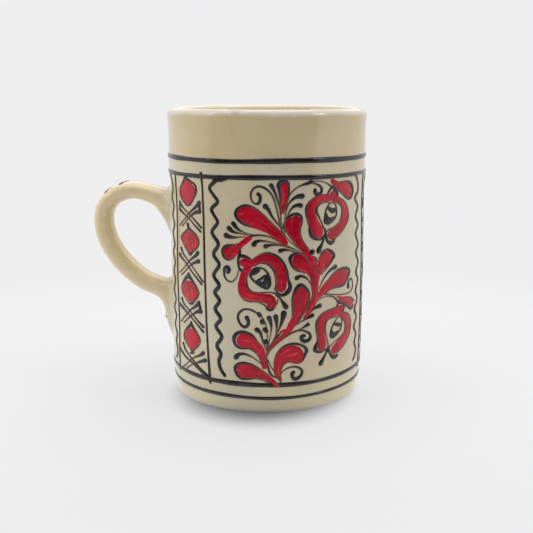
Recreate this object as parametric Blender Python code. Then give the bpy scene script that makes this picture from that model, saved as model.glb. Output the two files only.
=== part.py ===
"""A tall slip-decorated mug: a thrown cylinder with a pulled strap handle luted to its side.

Frame: +Z up, origin at the centre of the base, the handle in the XZ plane on the -X side.
Every slip line is its own thin strip of clay, trailed on the wall after turning.
"""

import math

import bmesh
import bpy

MM = 0.001

# Driving dimensions, in millimetres
HEIGHT = 120.0
LIP_RADIUS = 41.6
LIP_THICKNESS = 3.7
WALL_THICKNESS = 4.2
FLOOR_THICKNESS = 6.0
BASE_RADIUS = 36.9
FOOT_ROUND = 2.2
INNER_CORNER = 9.0
FLAT_RADIUS = 40.7          # radius at which distances round the wall are measured
FIT_GAP = 0.3               # clearance that neighbouring solids keep
SLIP_HEIGHT = 0.45          # how far a trailed line stands up
LUTING_THICKNESS = 0.8      # slip between the handle's ends and the wall

# Outside of the wall above the foot: height, radius
WALL_OUTSIDE = [
    (2.2, 38.9), (5.7, 39.45), (10.0, 40.0), (18.0, 40.35), (30.0, 40.55), (50.0, 40.8),
    (70.0, 40.75), (82.0, 40.7), (90.0, 40.95), (97.0, 41.25), (104.0, 41.2), (111.0, 41.25),
    (117.4, LIP_RADIUS),
]
WALL_STEP = 4.5             # spacing of the rings of the turned wall

# Centre line of the handle: distance from the axis, height, thickness in the XZ plane, width along Y
HANDLE_STATIONS = [
    (38.0, 75.0, 26.0, 21.0), (41.5, 76.6, 21.0, 20.0), (44.0, 79.4, 14.4, 17.5),
    (47.4, 82.0, 9.8, 15.0), (51.4, 84.0, 7.9, 13.6), (56.5, 85.1, 7.8, 13.0),
    (61.6, 84.5, 8.2, 13.0), (66.4, 81.9, 8.5, 13.0), (69.9, 77.6, 8.8, 13.0),
    (70.9, 72.2, 9.0, 13.0), (69.4, 64.4, 9.0, 13.0), (64.9, 56.4, 9.0, 12.8),
    (58.4, 49.4, 9.0, 12.5), (52.4, 45.0, 9.0, 12.5), (47.4, 41.6, 9.2, 12.5),
    (43.6, 38.2, 8.6, 12.5), (41.7, 33.6, 6.4, 12.0), (41.3, 29.6, 5.8, 11.0),
    (40.6, 26.0, 4.2, 9.5), (40.0, 23.2, 2.6, 7.0),
]
SECTION_POINTS = 16
STATIONS_BETWEEN = 2
SECTION_SQUARENESS = 0.85   # 1 is an ellipse, less is a flatter strap

# Luting pads: height of the centre, half height, half width
UPPER_PAD = (77.0, 10.5, 8.2)
LOWER_PAD = (36.0, 9.5, 5.2)

# Slip lines. Distances round the wall run from the -Y side towards +X, so the handle is at
# minus a quarter turn. Panels are centred opposite the handle and next to it on both sides.
CIRCUMFERENCE = 2 * math.pi * FLAT_RADIUS
QUARTER = CIRCUMFERENCE / 4
RING_WIDTHS = {"neck_upper": (100.9, 1.7), "neck_lower": (94.6, 1.5),
               "foot_upper": (12.2, 1.5), "foot_lower": (6.8, 1.2)}
PANEL_HALF_WIDTH = 10.0
SIDE_PANEL_OFFSET = 32.0    # from the handle's plane to the centre of the panel beside it
WAVE_OFFSET = 15.2          # from a panel's centre to the wavy line beside it
WAVE_AMPLITUDE = 1.5
WAVE_LENGTH = 8.6
BORDER_WIDTH = 1.0
WAVE_WIDTH = 1.2
LINES_TOP = 93.4
LINES_BOTTOM = 13.5
AROUND = 72                 # facets round the mug

MATERIALS = {
    "cream_glaze": ((0.62, 0.55, 0.38), 0.18),
    "dark_slip": ((0.035, 0.035, 0.045), 0.3),
    "bare_clay": ((0.55, 0.36, 0.24), 0.85),
}


def clear_scene():
    for obj in list(bpy.data.objects):
        bpy.data.objects.remove(obj)


def material(name):
    """A Principled material of the named finish, made once."""
    found = bpy.data.materials.get(name)
    if found:
        return found
    colour, roughness = MATERIALS[name]
    made = bpy.data.materials.new(name)
    made.use_nodes = True
    shader = made.node_tree.nodes["Principled BSDF"]
    shader.inputs["Base Color"].default_value = (*colour, 1)
    shader.inputs["Roughness"].default_value = roughness
    shader.inputs["Metallic"].default_value = 0
    return made


def add_object(name, points, faces, finish):
    """A named, smooth-shaded object from points in millimetres."""
    mesh = bpy.data.meshes.new(name)
    mesh.from_pydata([tuple(MM * c for c in p) for p in points], [], faces)
    shape = bmesh.new()
    shape.from_mesh(mesh)
    bmesh.ops.recalc_face_normals(shape, faces=shape.faces)
    shape.to_mesh(mesh)
    shape.free()
    mesh.shade_smooth()
    mesh.set_sharp_from_angle(angle=math.radians(40))
    obj = bpy.data.objects.new(name, mesh)
    bpy.context.scene.collection.objects.link(obj)
    mesh.materials.append(material(finish))
    return obj


def smooth_value(before, start, end, after, t):
    """Catmull-Rom value between start and end."""
    return 0.5 * (
        2 * start + (end - before) * t
        + (2 * before - 5 * start + 4 * end - after) * t * t
        + (3 * start - before - 3 * end + after) * t ** 3
    )


def smooth_row(rows, place):
    """The row at a fractional place along a list of rows, on a smooth curve through them."""
    i = min(int(place), len(rows) - 2)
    around = [rows[min(max(k, 0), len(rows) - 1)] for k in (i - 1, i, i + 1, i + 2)]
    return tuple(smooth_value(*values, place - i) for values in zip(*around))


def wall_radius(height):
    """Outside radius of the wall at a height."""
    height = max(height, WALL_OUTSIDE[0][0])
    for i, (low, high) in enumerate(zip(WALL_OUTSIDE, WALL_OUTSIDE[1:])):
        if height <= high[0]:
            share = (height - low[0]) / (high[0] - low[0])
            return smooth_row(WALL_OUTSIDE, i + share)[1]
    return WALL_OUTSIDE[-1][1]


def arc(centre, radii, start, end, steps):
    """Points of an elliptical arc in the (radius, height) plane, angles in degrees."""
    turned = [math.radians(start + (end - start) * i / steps) for i in range(steps + 1)]
    return [(centre[0] + radii[0] * math.cos(a), centre[1] + radii[1] * math.sin(a)) for a in turned]


def turned_solid(name, profile, finish):
    """Solid of revolution of a (radius, height) profile whose two ends lie on the axis."""
    points, rings = [], []
    for radius, height in profile:
        count = 1 if radius == 0 else AROUND
        rings.append(list(range(len(points), len(points) + count)))
        for k in range(count):
            angle = 2 * math.pi * k / AROUND
            points.append((radius * math.cos(angle), radius * math.sin(angle), height))
    faces = []
    for low, high in zip(rings, rings[1:]):
        for k in range(AROUND):
            a, b = low[k % len(low)], low[(k + 1) % len(low)]
            c, d = high[(k + 1) % len(high)], high[k % len(high)]
            faces.append(tuple(dict.fromkeys((a, b, c, d))))
    return add_object(name, points, faces, finish)


def outside_profile(lift=0.0):
    """The wall's outside from the foot to the lip, moved out by lift."""
    count = round((HEIGHT - FOOT_ROUND) / WALL_STEP)
    lowest, highest = WALL_OUTSIDE[0][0], WALL_OUTSIDE[-1][0]
    heights = [lowest + (highest - lowest) * i / count for i in range(count + 1)]
    return [(wall_radius(h) + lift, h) for h in heights]


def make_body():
    """Wall, floor, rolled lip and rounded foot, thrown in one piece."""
    foot = arc((BASE_RADIUS, FOOT_ROUND), (FOOT_ROUND - 0.2, FOOT_ROUND), -90, -15, 3)
    lip_height = HEIGHT - WALL_OUTSIDE[-1][0]
    lip_centre = (LIP_RADIUS - LIP_THICKNESS / 2, HEIGHT - lip_height)
    lip = arc(lip_centre, (LIP_THICKNESS / 2, lip_height), 20, 180, 7)
    inner = [(wall_radius(h) - WALL_THICKNESS, h) for h in (104, 84, 64, 44, 26)]
    corner_radius = wall_radius(20) - WALL_THICKNESS - INNER_CORNER - 0.3
    corner = arc((corner_radius, FLOOR_THICKNESS + INNER_CORNER), (INNER_CORNER, INNER_CORNER), 0, -90, 5)
    profile = [(0, 0)] + foot + outside_profile() + lip + inner + corner + [(0, FLOOR_THICKNESS)]
    return turned_solid("mug_body", profile, "cream_glaze")


def handle_section(station, along):
    """Ring of points round one station of the handle, square to its centre line."""
    radius, height, thickness, width = station
    length = math.hypot(*along)
    normal = (-along[1] / length, along[0] / length)
    ring = []
    for k in range(SECTION_POINTS):
        angle = 2 * math.pi * k / SECTION_POINTS
        c, s = math.cos(angle), math.sin(angle)
        across = math.copysign(abs(c) ** SECTION_SQUARENESS, c) * thickness / 2
        side = math.copysign(abs(s) ** SECTION_SQUARENESS, s) * width / 2
        ring.append((-(radius + normal[0] * across), side, height + normal[1] * across))
    return ring


def make_handle():
    """Pulled strap: a wide flared root at the neck, a loop, and a tail pressed down the wall."""
    last = len(HANDLE_STATIONS) - 1
    steps = last * STATIONS_BETWEEN
    places = [last * i / steps for i in range(steps + 1)]
    centres = [smooth_row(HANDLE_STATIONS, p) for p in places]
    points, faces = [], []
    for i, centre in enumerate(centres):
        before, after = centres[max(i - 1, 0)], centres[min(i + 1, steps)]
        points += handle_section(centre, (after[0] - before[0], after[1] - before[1]))
    n = SECTION_POINTS
    for i in range(steps):
        for k in range(n):
            m = (k + 1) % n
            faces.append((i * n + k, i * n + m, (i + 1) * n + m, (i + 1) * n + k))
    faces.append(tuple(range(n)))
    faces.append(tuple(range(steps * n, steps * n + n)))
    handle = add_object("handle", points, faces, "cream_glaze")
    lift = 2 * FIT_GAP + LUTING_THICKNESS
    core = [(0, -5), (BASE_RADIUS + lift, -5)] + outside_profile(lift)
    core += [(LIP_RADIUS + lift, HEIGHT + 5), (0, HEIGHT + 5)]
    cutter = turned_solid("wall_cutter", core, "cream_glaze")
    cutter.hide_render = True
    cutter.display_type = "WIRE"
    cut = handle.modifiers.new("meets_wall", "BOOLEAN")
    cut.operation = "DIFFERENCE"
    cut.solver = "EXACT"
    cut.object = cutter
    return handle


def wall_point(distance, height, lift):
    """A point on the wall, a distance round it from the -Y side, standing off by lift."""
    angle = distance / FLAT_RADIUS
    radius = wall_radius(height) + lift
    return (radius * math.sin(angle), -radius * math.cos(angle), height)


def make_luting_pad(name, centre_height, half_height, half_width):
    """Oval lens of joining slip between one end of the handle and the wall."""
    rings, around = 4, 24
    low, high = FIT_GAP, FIT_GAP + LUTING_THICKNESS
    points = [wall_point(-QUARTER, centre_height, low), wall_point(-QUARTER, centre_height, high)]
    for lift in (low, high):
        for r in range(1, rings + 1):
            for k in range(around):
                angle = 2 * math.pi * k / around
                distance = -QUARTER + half_width * r / rings * math.sin(angle)
                height = centre_height + half_height * r / rings * math.cos(angle)
                points.append(wall_point(distance, height, lift))
    def index(side, ring, k):
        return 2 + (side * rings + ring) * around + k % around
    faces = []
    for side in (0, 1):
        for k in range(around):
            faces.append((side, index(side, 0, k), index(side, 0, k + 1)))
            for r in range(rings - 1):
                faces.append((index(side, r, k), index(side, r + 1, k),
                              index(side, r + 1, k + 1), index(side, r, k + 1)))
    for k in range(around):
        faces.append((index(0, rings - 1, k), index(1, rings - 1, k),
                      index(1, rings - 1, k + 1), index(0, rings - 1, k + 1)))
    return add_object(name, points, faces, "bare_clay")


def make_slip_line(name, path, width, closed=False):
    """Strip of trailed slip along (distance, height) points on the wall, with a narrower top."""
    points, faces = [], []
    count = len(path)
    section = [(-0.5, 0), (-0.3, SLIP_HEIGHT), (0.3, SLIP_HEIGHT), (0.5, 0)]
    for i, (distance, height) in enumerate(path):
        before = path[i - 1] if i else ((path[-1][0] - CIRCUMFERENCE, path[-1][1]) if closed else path[0])
        after = path[(i + 1) % count] if closed or i + 1 < count else path[-1]
        if closed and i + 1 == count:
            after = (after[0] + CIRCUMFERENCE, after[1])
        along = (after[0] - before[0], after[1] - before[1])
        length = math.hypot(*along)
        for across, lift in section:
            shift = across * width / length
            points.append(wall_point(distance - along[1] * shift, height + along[0] * shift, FIT_GAP + lift))
    n = len(section)
    for i in range(count if closed else count - 1):
        j = (i + 1) % count
        for k in range(n):
            m = (k + 1) % n
            faces.append((i * n + k, i * n + m, j * n + m, j * n + k))
    if not closed:
        faces.append(tuple(range(n)))
        faces.append(tuple(range((count - 1) * n, count * n)))
    return add_object(name, points, faces, "dark_slip")


def make_rings():
    """Two rings below the lip and two above the foot, trailed while the mug turned on the wheel."""
    for name, (height, width) in RING_WIDTHS.items():
        path = [(CIRCUMFERENCE * i / AROUND, height) for i in range(AROUND)]
        make_slip_line(f"slip_ring_{name}", path, width, closed=True)


def make_panel(name, centre):
    """Two upright border lines of a bud panel, with a wavy line outside each."""
    border_steps, wave_steps = 12, 56
    span = LINES_TOP - LINES_BOTTOM
    for side, sign in (("left", -1), ("right", 1)):
        place = centre + sign * PANEL_HALF_WIDTH
        border = [(place, LINES_BOTTOM + span * i / border_steps) for i in range(border_steps + 1)]
        make_slip_line(f"slip_border_{name}_{side}", border, BORDER_WIDTH)
        wave = []
        for i in range(wave_steps + 1):
            height = LINES_BOTTOM + 1.5 + (span - 1.5) * i / wave_steps
            swing = WAVE_AMPLITUDE * math.sin(2 * math.pi * (LINES_TOP - height) / WAVE_LENGTH)
            wave.append((centre + sign * (WAVE_OFFSET + swing), height))
        make_slip_line(f"slip_wave_{name}_{side}", wave, WAVE_WIDTH)


def build():
    clear_scene()
    make_body()
    make_handle()
    make_luting_pad("luting_slip_upper", *UPPER_PAD)
    make_luting_pad("luting_slip_lower", *LOWER_PAD)
    make_rings()
    make_panel("front", -QUARTER + SIDE_PANEL_OFFSET)
    make_panel("far", QUARTER)
    make_panel("back", -QUARTER - SIDE_PANEL_OFFSET)


build()
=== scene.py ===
"""Looks of the slip-trailed mug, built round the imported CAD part.

Lengths are millimetres, apart from the studio's, which are metres. A place on the wall is a
distance round it at FLAT_RADIUS, from the -Y side towards +X, and a height. A line's third
number is its width.
"""

import math

import bmesh
import bpy
import numpy as np
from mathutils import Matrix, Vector


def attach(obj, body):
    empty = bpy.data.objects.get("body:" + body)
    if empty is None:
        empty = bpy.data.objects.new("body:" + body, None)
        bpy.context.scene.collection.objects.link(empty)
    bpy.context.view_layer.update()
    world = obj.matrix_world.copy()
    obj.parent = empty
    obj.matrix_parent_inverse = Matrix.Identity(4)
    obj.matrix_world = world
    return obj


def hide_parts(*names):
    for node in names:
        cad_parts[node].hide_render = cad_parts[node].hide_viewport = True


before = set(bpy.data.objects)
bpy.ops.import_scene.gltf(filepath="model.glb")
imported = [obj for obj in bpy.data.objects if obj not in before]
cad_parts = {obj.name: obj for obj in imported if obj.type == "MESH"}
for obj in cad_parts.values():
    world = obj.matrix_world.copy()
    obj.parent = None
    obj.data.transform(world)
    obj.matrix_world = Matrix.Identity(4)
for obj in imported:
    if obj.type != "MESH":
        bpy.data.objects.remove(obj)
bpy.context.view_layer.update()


MM = 0.001

# ---------------------------------------------------------------- sizes of the thrown body
HEIGHT = 120.0
LIP_RADIUS = 41.6
LIP_THICKNESS = 3.7
LIP_OVERLAP = 1.5          # how far below the lip's round the inside's outline begins
LIP_RISE = 0.35            # how much higher the rim is at the front and back than at the sides
LIP_RISE_HEIGHTS = (103, 119)
WALL_THICKNESS = 4.2
THINNING_HEIGHTS = (100, 116)
FLOOR_THICKNESS = 6.0
BASE_RADIUS = 36.9
FOOT_ROUND = 2.2
FOOT_SPREAD = 2.0
FOOT_HOLLOW = 0.3          # how far the underside's middle is off the table
INNER_CORNER = 9.0
INNER_NARROWING = 0.3      # how much nearer the axis the inner corner stands than the wall at 20 mm
FLAT_RADIUS = 40.7
CIRCUMFERENCE = 2 * math.pi * FLAT_RADIUS
QUARTER = CIRCUMFERENCE / 4
WALL_OUTSIDE = [  # height, radius
    (2.2, 38.9), (5.7, 39.45), (10.0, 40.0), (18.0, 40.35), (30.0, 40.55), (50.0, 40.8),
    (70.0, 40.75), (82.0, 40.7), (90.0, 40.95), (97.0, 41.25), (104.0, 41.2), (111.0, 41.25),
    (117.4, LIP_RADIUS),
]
BODY_AROUND = 288
BODY_STEP = 0.85
ROUND_STEP = 0.35
LIP_STEP = 0.3
THROWING_PITCH = 3.4
THROWING_DEPTH = 0.014
THROWING_FADES = ((3, 16), (92, 112))
INNER_PITCH = 6.5
INNER_DEPTH = 0.07
INNER_FADES = ((8, 20), (98, 114))
FLOOR_PITCH = 6.0
FLOOR_DEPTH = 0.12
FLOOR_FADES = ((1, 8), (6.2, 9))  # of its rings: radii from the middle, then heights up the corner

# ---------------------------------------------------------------- sizes of the pulled handle
# Distance from the axis, height, thickness in the XZ plane, width along Y
HANDLE_STATIONS = [
    (34.0, 79.0, 11.5, 16.0), (38.0, 79.8, 10.6, 15.6), (43.0, 81.2, 9.4, 14.8),
    (47.0, 82.7, 8.3, 14.0), (51.2, 84.1, 7.6, 13.4), (56.2, 85.1, 7.4, 13.0),
    (61.4, 84.5, 7.6, 13.0), (66.4, 81.9, 7.6, 13.0), (69.8, 77.6, 7.7, 13.0),
    (70.8, 72.2, 7.8, 13.0), (69.4, 64.4, 7.9, 13.0), (64.9, 56.4, 8.0, 12.8),
    (58.4, 49.5, 8.0, 12.5), (52.4, 45.4, 8.0, 12.5), (47.4, 43.3, 8.0, 12.5),
    (43.9, 41.0, 8.0, 12.4), (41.9, 37.2, 7.2, 12.0), (41.3, 32.6, 6.0, 11.4),
    (41.0, 28.6, 5.2, 10.4), (40.4, 25.0, 3.6, 9.0), (39.6, 22.2, 2.0, 7.0),
]
HANDLE_POWER = 2.5         # of its section: 2 is an ellipse, more is squarer
HANDLE_STEP = 0.4
HANDLE_CELL = 0.6
HANDLE_GRID = ((-76.5, -16.8, 14.0), (-34.0, 16.8, 99.0))
HANDLE_BLEND = [  # height, fillet reach against the wall under the middle of the handle
    (14, 4.0), (36, 4.5), (44, 7.0), (50, 7.0), (58, 6.0), (66, 13.0), (75, 13.0), (85, 5.5), (98, 5.0),
]
SIDE_BLEND = 4.5
SIDE_BLEND_WIDTHS = (3, 11)
SMOOTHING_ROUNDS = 4
SMOOTHING_SHARE = 0.6
SKIN_MARGIN = 0.9          # how far beyond its fillet the handle's skin runs on
SKIN_INNER_RADIUS = 39.5
SKIN_SINK = 0.02           # how deep the skin's edge dips into the wall
SINK_FADE = (0.55, 1.0)

# ---------------------------------------------------------------- slip drawing
DARK_HEIGHT = 0.36
RED_HEIGHT = 0.07
RED_BLEED = 0.4
RED_STEP_UP = {"buds": 0.01, "petals": 0.003, "strokes": 0.004}  # each fill over the one before
RED_STROKES_LIFT = 0.03
LINE_STEP = 0.55
LINE_SPREAD = 0.12
COPY_DRIFT = 0.3
SPRAY_SEED = 5.0

RINGS = {  # height, width, and how far it rises at the handle and on the far side
    "slip_ring_neck_upper": (100.9, 2.05, 0.0),
    "slip_ring_neck_lower": (94.5, 1.9, 0.0),
    "slip_ring_foot_upper": (12.0, 1.95, 1.4),
    "slip_ring_foot_lower": (6.6, 1.6, 1.1),
}
RING_POINTS = 420
PANELS = {"front": -QUARTER + 32.0, "far": QUARTER, "back": -QUARTER - 32.0}
PANEL_SHIFT = {"far": 2.2}  # of all of a panel but its left wavy line
SPRAYS = {"front": 16.0, "back": 16.0 + 1.5 * QUARTER}

# Dashes across the handle's spine: lengths along its centre line, and places from their own middle
DASH_PLACES = [27.4, 33.3, 40.3, 47.4, 54.8, 62.4, 70.4, 78.0, 99.0]
DASH_LEAN = -1.7
DASH_HALF = 3.3
DASH_ASIDE = 0.5
DASH_HIDDEN = (40, 90)     # where the photo can't show them, they lie further back
DASH_ASIDE_HIDDEN = 2.7
DASH_HEIGHT = 0.34
DASH_ROWS = [(-0.5, 1.6), (-0.17, 1.5), (0.17, 1.3), (0.5, 0.9)]  # share of its length, width

# Border lines and the wavy lines outside them, from a panel's centre
BORDER_LEFT = [(-9.9, 94.2, 1.1), (-9.6, 85, 1.0), (-9.3, 72, 1.0), (-9.6, 58, 0.95), (-9.3, 44, 1.05),
               (-9.0, 33, 1.0), (-9.6, 22, 1.0), (-10.2, 12.2, 1.1)]
BORDER_RIGHT = [(8.3, 95.6, 1.2), (8.7, 92.5, 0.95), (8.9, 84, 0.9), (9.2, 72, 0.95), (9.4, 60, 1.0),
                (9.7, 48, 0.95), (10.0, 34, 0.95), (10.5, 23, 1.05), (11.0, 14, 1.3), (11.2, 10.9, 1.0)]
WAVE_RIGHT = [(17.2, 94.3, 1.84), (15.2, 92.9, 1.72), (12.4, 90, 1.49), (14.2, 87.4, 1.38),
              (16, 85.1, 1.49), (13.0, 81.6, 1.61), (14.3, 79.4, 1.38), (15.8, 77.2, 1.49),
              (13.2, 72.8, 1.61), (16.1, 68.2, 1.61), (13.9, 64.1, 1.61), (16.4, 60.2, 1.61),
              (13.9, 55.6, 1.61), (16.3, 51.5, 1.72), (14.3, 48.9, 1.72), (16.4, 45.6, 1.61),
              (14.4, 42.2, 1.72), (16.8, 38.1, 1.72), (14.6, 35.2, 1.61), (17.2, 31, 1.61),
              (14.9, 26.9, 1.72), (16.6, 24, 1.72), (15.7, 20.4, 1.72), (16.5, 17.4, 1.61),
              (18.2, 15.1, 1.49)]
WAVE_LEFT = [(-17.6, 94.2, 1.2), (-14.2, 89.6, 1.1), (-13.9, 87, 1.2), (-16.6, 84.6, 1.3),
             (-13.4, 80.4, 1.2), (-15.6, 76.7, 1.4), (-13, 72.8, 1.3), (-15.4, 69.8, 1.4),
             (-12.9, 64.5, 1.3), (-15.2, 61.6, 1.4), (-12.6, 57.3, 1.3), (-15, 53.4, 1.4),
             (-12.8, 50.2, 1.2), (-14.9, 45.2, 1.4), (-12.7, 42.2, 1.3), (-15.3, 37.5, 1.5),
             (-12.8, 34.6, 1.3), (-15.2, 30.5, 1.4), (-12.5, 26.5, 1.3), (-14.2, 23.8, 1.4),
             (-12.4, 20.6, 1.3), (-13.2, 17.6, 1.3), (-14.9, 16.2, 1.2)]

# Buds of a panel: the left and right edges of the red, from its base to its top, then its outline
BUDS = [
    ([(0.4, 82.7), (-2.4, 83.3), (-4.6, 84.8), (-5.9, 86.8), (-5.3, 88.6), (-3.4, 90.7), (-1.0, 92.4)],
     [(0.6, 82.7), (2, 84), (3.4, 85.8), (4.5, 87.6), (4.6, 89.3), (2.8, 91.2), (-0.2, 92.4)],
     [(-6.3, 87.4, 0.4), (-5.7, 88.8, 0.5), (-4.0, 90.5, 0.7), (-2.4, 92.0, 1.2), (-1.5, 93.1, 1.4),
      (0.2, 92.8, 1.2), (2.4, 92, 0.9), (4.8, 90.8, 0.9), (5.5, 89, 1), (5, 87.2, 0.9), (3.3, 84.9, 0.8),
      (1.6, 82.9, 0.8), (0, 82.2, 0.8), (-2.2, 82.9, 0.7), (-4.3, 84.1, 0.6), (-5.8, 86, 0.5),
      (-6.3, 87.4, 0.4)]),
    ([(0.9, 63.2), (-0.8, 64.4), (-2.8, 66.1), (-4.7, 67.9), (-4.9, 69.1), (-3, 70.5), (-0.6, 71.7),
      (1.4, 72.1)],
     [(1.1, 63.2), (2.7, 64.2), (4.9, 65.9), (6, 67.8), (5.6, 69.2), (4.2, 70.6), (2.8, 71.7), (1.8, 72.1)],
     [(-0.4, 74.6, 1.6), (0.2, 73.3, 1.5), (1.2, 72.7, 1.3), (2.9, 72.1, 0.8), (4.9, 70.8, 0.8),
      (6.3, 69, 0.7), (6.4, 67.6, 0.7), (5.4, 65.9, 0.8), (3.2, 64.2, 0.8), (1.7, 63, 1.1), (1, 62.6, 1.3),
      (-0.4, 63.5, 0.7), (-2.8, 65.3, 0.6), (-4.8, 67.4, 0.6), (-5.7, 68.8, 0.7), (-4.6, 70, 0.7),
      (-2.2, 71.6, 0.7), (0.2, 72.9, 1.1)]),
    ([(1.2, 42.8), (-1.2, 43.6), (-3.8, 45.2), (-5.7, 46.9), (-5.6, 48.3), (-4.3, 50), (-2.6, 51.2),
      (-0.4, 51.7)],
     [(1.5, 42.8), (3.1, 44.1), (4.8, 45.9), (5.2, 47.3), (4.6, 48.9), (2.8, 50.6), (1.4, 51.5), (0, 51.7)],
     [(-0.2, 54.4, 1.4), (0.4, 53.4, 1.9), (1.8, 52.3, 1.5), (3.6, 50.8, 1), (5.3, 48.9, 0.8),
      (6, 47.5, 0.8), (5.4, 45.9, 0.8), (3.4, 43.8, 0.7), (1.8, 42.4, 0.9), (0.8, 42.2, 0.9),
      (-1.4, 42.9, 0.5), (-3.7, 44.5, 0.4), (-5.6, 46.3, 0.4), (-6, 47.9, 0.4), (-4.8, 50, 0.8),
      (-3, 51.9, 1.4), (-1.2, 53.1, 1.8), (-0.2, 53.8, 1.5)]),
    ([(0.8, 22.7), (-1.2, 24.2), (-3.2, 25.9), (-4.6, 27.4), (-4.2, 29.1), (-2.6, 30.6), (-0.4, 31.6),
      (1.2, 31.9)],
     [(1.1, 22.7), (2.9, 24.2), (4.9, 26.1), (5.9, 27.8), (5, 29.5), (3.6, 30.8), (2.2, 31.6), (1.6, 31.9)],
     [(0.8, 34.3, 1.4), (1.3, 33.2, 1.8), (2.6, 32.2, 1.2), (4.5, 30.5, 0.8), (6.1, 28.5, 0.7),
      (6.2, 27, 0.6), (4.9, 25.2, 0.7), (2.9, 23.6, 0.7), (1.1, 22.1, 0.9), (-0.4, 23.2, 0.6),
      (-2.6, 24.6, 0.6), (-4.3, 26.1, 0.6), (-5, 27.6, 0.6), (-4.5, 29.3, 0.7), (-3, 30.9, 0.9),
      (-1.2, 32.2, 1.4), (0.4, 33.3, 1.6)]),
]
BUD_DOTS = [[(0.1, 21.4, 1.0), (0.5, 21.6, 0.9)], [(1.6, 21.6, 0.9), (2.2, 21.7, 0.7)]]
CROSSES = [
    [(-6.2, 82.9, 1.5), (-5.2, 81.9, 1.2), (-2.6, 80.4, 0.8), (0.3, 79, 0.7), (3.3, 77.3, 0.8),
     (7.8, 74.1, 1.0)],
    [(-6.6, 80.1, 1.6), (-5, 79.4, 1.2), (-2.2, 78.2, 0.8), (0.8, 76.9, 0.7), (3.8, 74.9, 0.8),
     (7.4, 72.5, 1.0)],
    [(-6.2, 83, 1.2), (-6.7, 80.3, 1.1)],
    [(6.8, 83.8, 2.0), (5, 82.2, 1.4), (2.6, 80.6, 1), (0.2, 78.9, 0.8), (-2.6, 76.6, 0.6),
     (-6.7, 73.5, 0.7)],
    [(6.9, 80.4, 1.9), (5, 80, 1.4), (2.4, 78.7, 0.9), (0.2, 77.3, 0.7), (-1.8, 75.6, 0.6),
     (-4.3, 73.6, 0.7)],
    [(6.9, 83.2, 1.3), (7.1, 80.8, 1.2)],
    [(-5.6, 64.1, 1.6), (-4.6, 62.8, 1.1), (-2.2, 61, 0.8), (0.8, 59.1, 0.7), (4.2, 56.3, 0.7),
     (8.4, 52.5, 0.9)],
    [(-6.9, 61.4, 1.8), (-5.6, 60.6, 1.3), (-3, 59.3, 0.9), (-0.4, 57.5, 0.8), (3.6, 54.5, 0.8),
     (7.8, 51.3, 0.9)],
    [(5.7, 63.7, 1.9), (4.6, 62.6, 1.5), (2.4, 61.2, 1), (-0.4, 59.2, 0.8), (-3.4, 56.6, 0.6),
     (-7.3, 54, 0.7)],
    [(6.1, 60.4, 1.9), (4.6, 59.9, 1.4), (2.2, 58.8, 0.9), (-0.2, 57.2, 0.7), (-2.6, 55.3, 0.6),
     (-5.5, 53.3, 0.7)],
    [(-5.9, 43.2, 1.5), (-4.9, 41.9, 1.1), (-2.2, 40.3, 0.8), (0.8, 38.7, 0.7), (4.2, 36.5, 0.8),
     (8.2, 33.8, 1.2)],
    [(-7.9, 40.4, 1.5), (-5.8, 39.8, 1.4), (-2.8, 38.5, 1), (0.3, 37, 0.8), (4.1, 34.7, 0.8),
     (8.1, 31.8, 1.1)],
    [(5.9, 43.4, 1.9), (4.4, 42, 1.5), (2, 40.5, 1), (-0.6, 38.7, 0.8), (-3.6, 36.3, 0.7),
     (-7.1, 33.5, 0.7)],
    [(6.9, 40, 2.0), (5.2, 39.7, 1.5), (2.8, 38.4, 0.9), (0.4, 36.9, 0.8), (-2.2, 35, 0.7),
     (-4.6, 33.4, 0.8)],
    [(6.1, 42.9, 1.5), (6.8, 40.6, 1.5)],
    [(-5.7, 24.1, 1.5), (-4.6, 22.5, 1.2), (-1.8, 20.6, 0.9), (1, 18.9, 0.9), (4.8, 16.5, 1.1),
     (9.8, 13.4, 1.8)],
    [(-9, 21.3, 1.5), (-6.8, 20.1, 1.3), (-3.6, 18.7, 1), (-0.2, 17.7, 0.9), (3.8, 16.1, 1),
     (9.2, 13.2, 1.5)],
    [(7.8, 22.8, 1.9), (6, 21.6, 1.2), (3.2, 20.4, 0.8), (0.4, 18.8, 0.7), (-2.4, 16.7, 0.6),
     (-6.8, 13.8, 0.7)],
    [(8.8, 19.9, 1.8), (7, 19.3, 1.3), (4, 18, 0.8), (1, 16.8, 0.6), (-1.4, 15.4, 0.6), (-4, 13.8, 0.6)],
]

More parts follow.
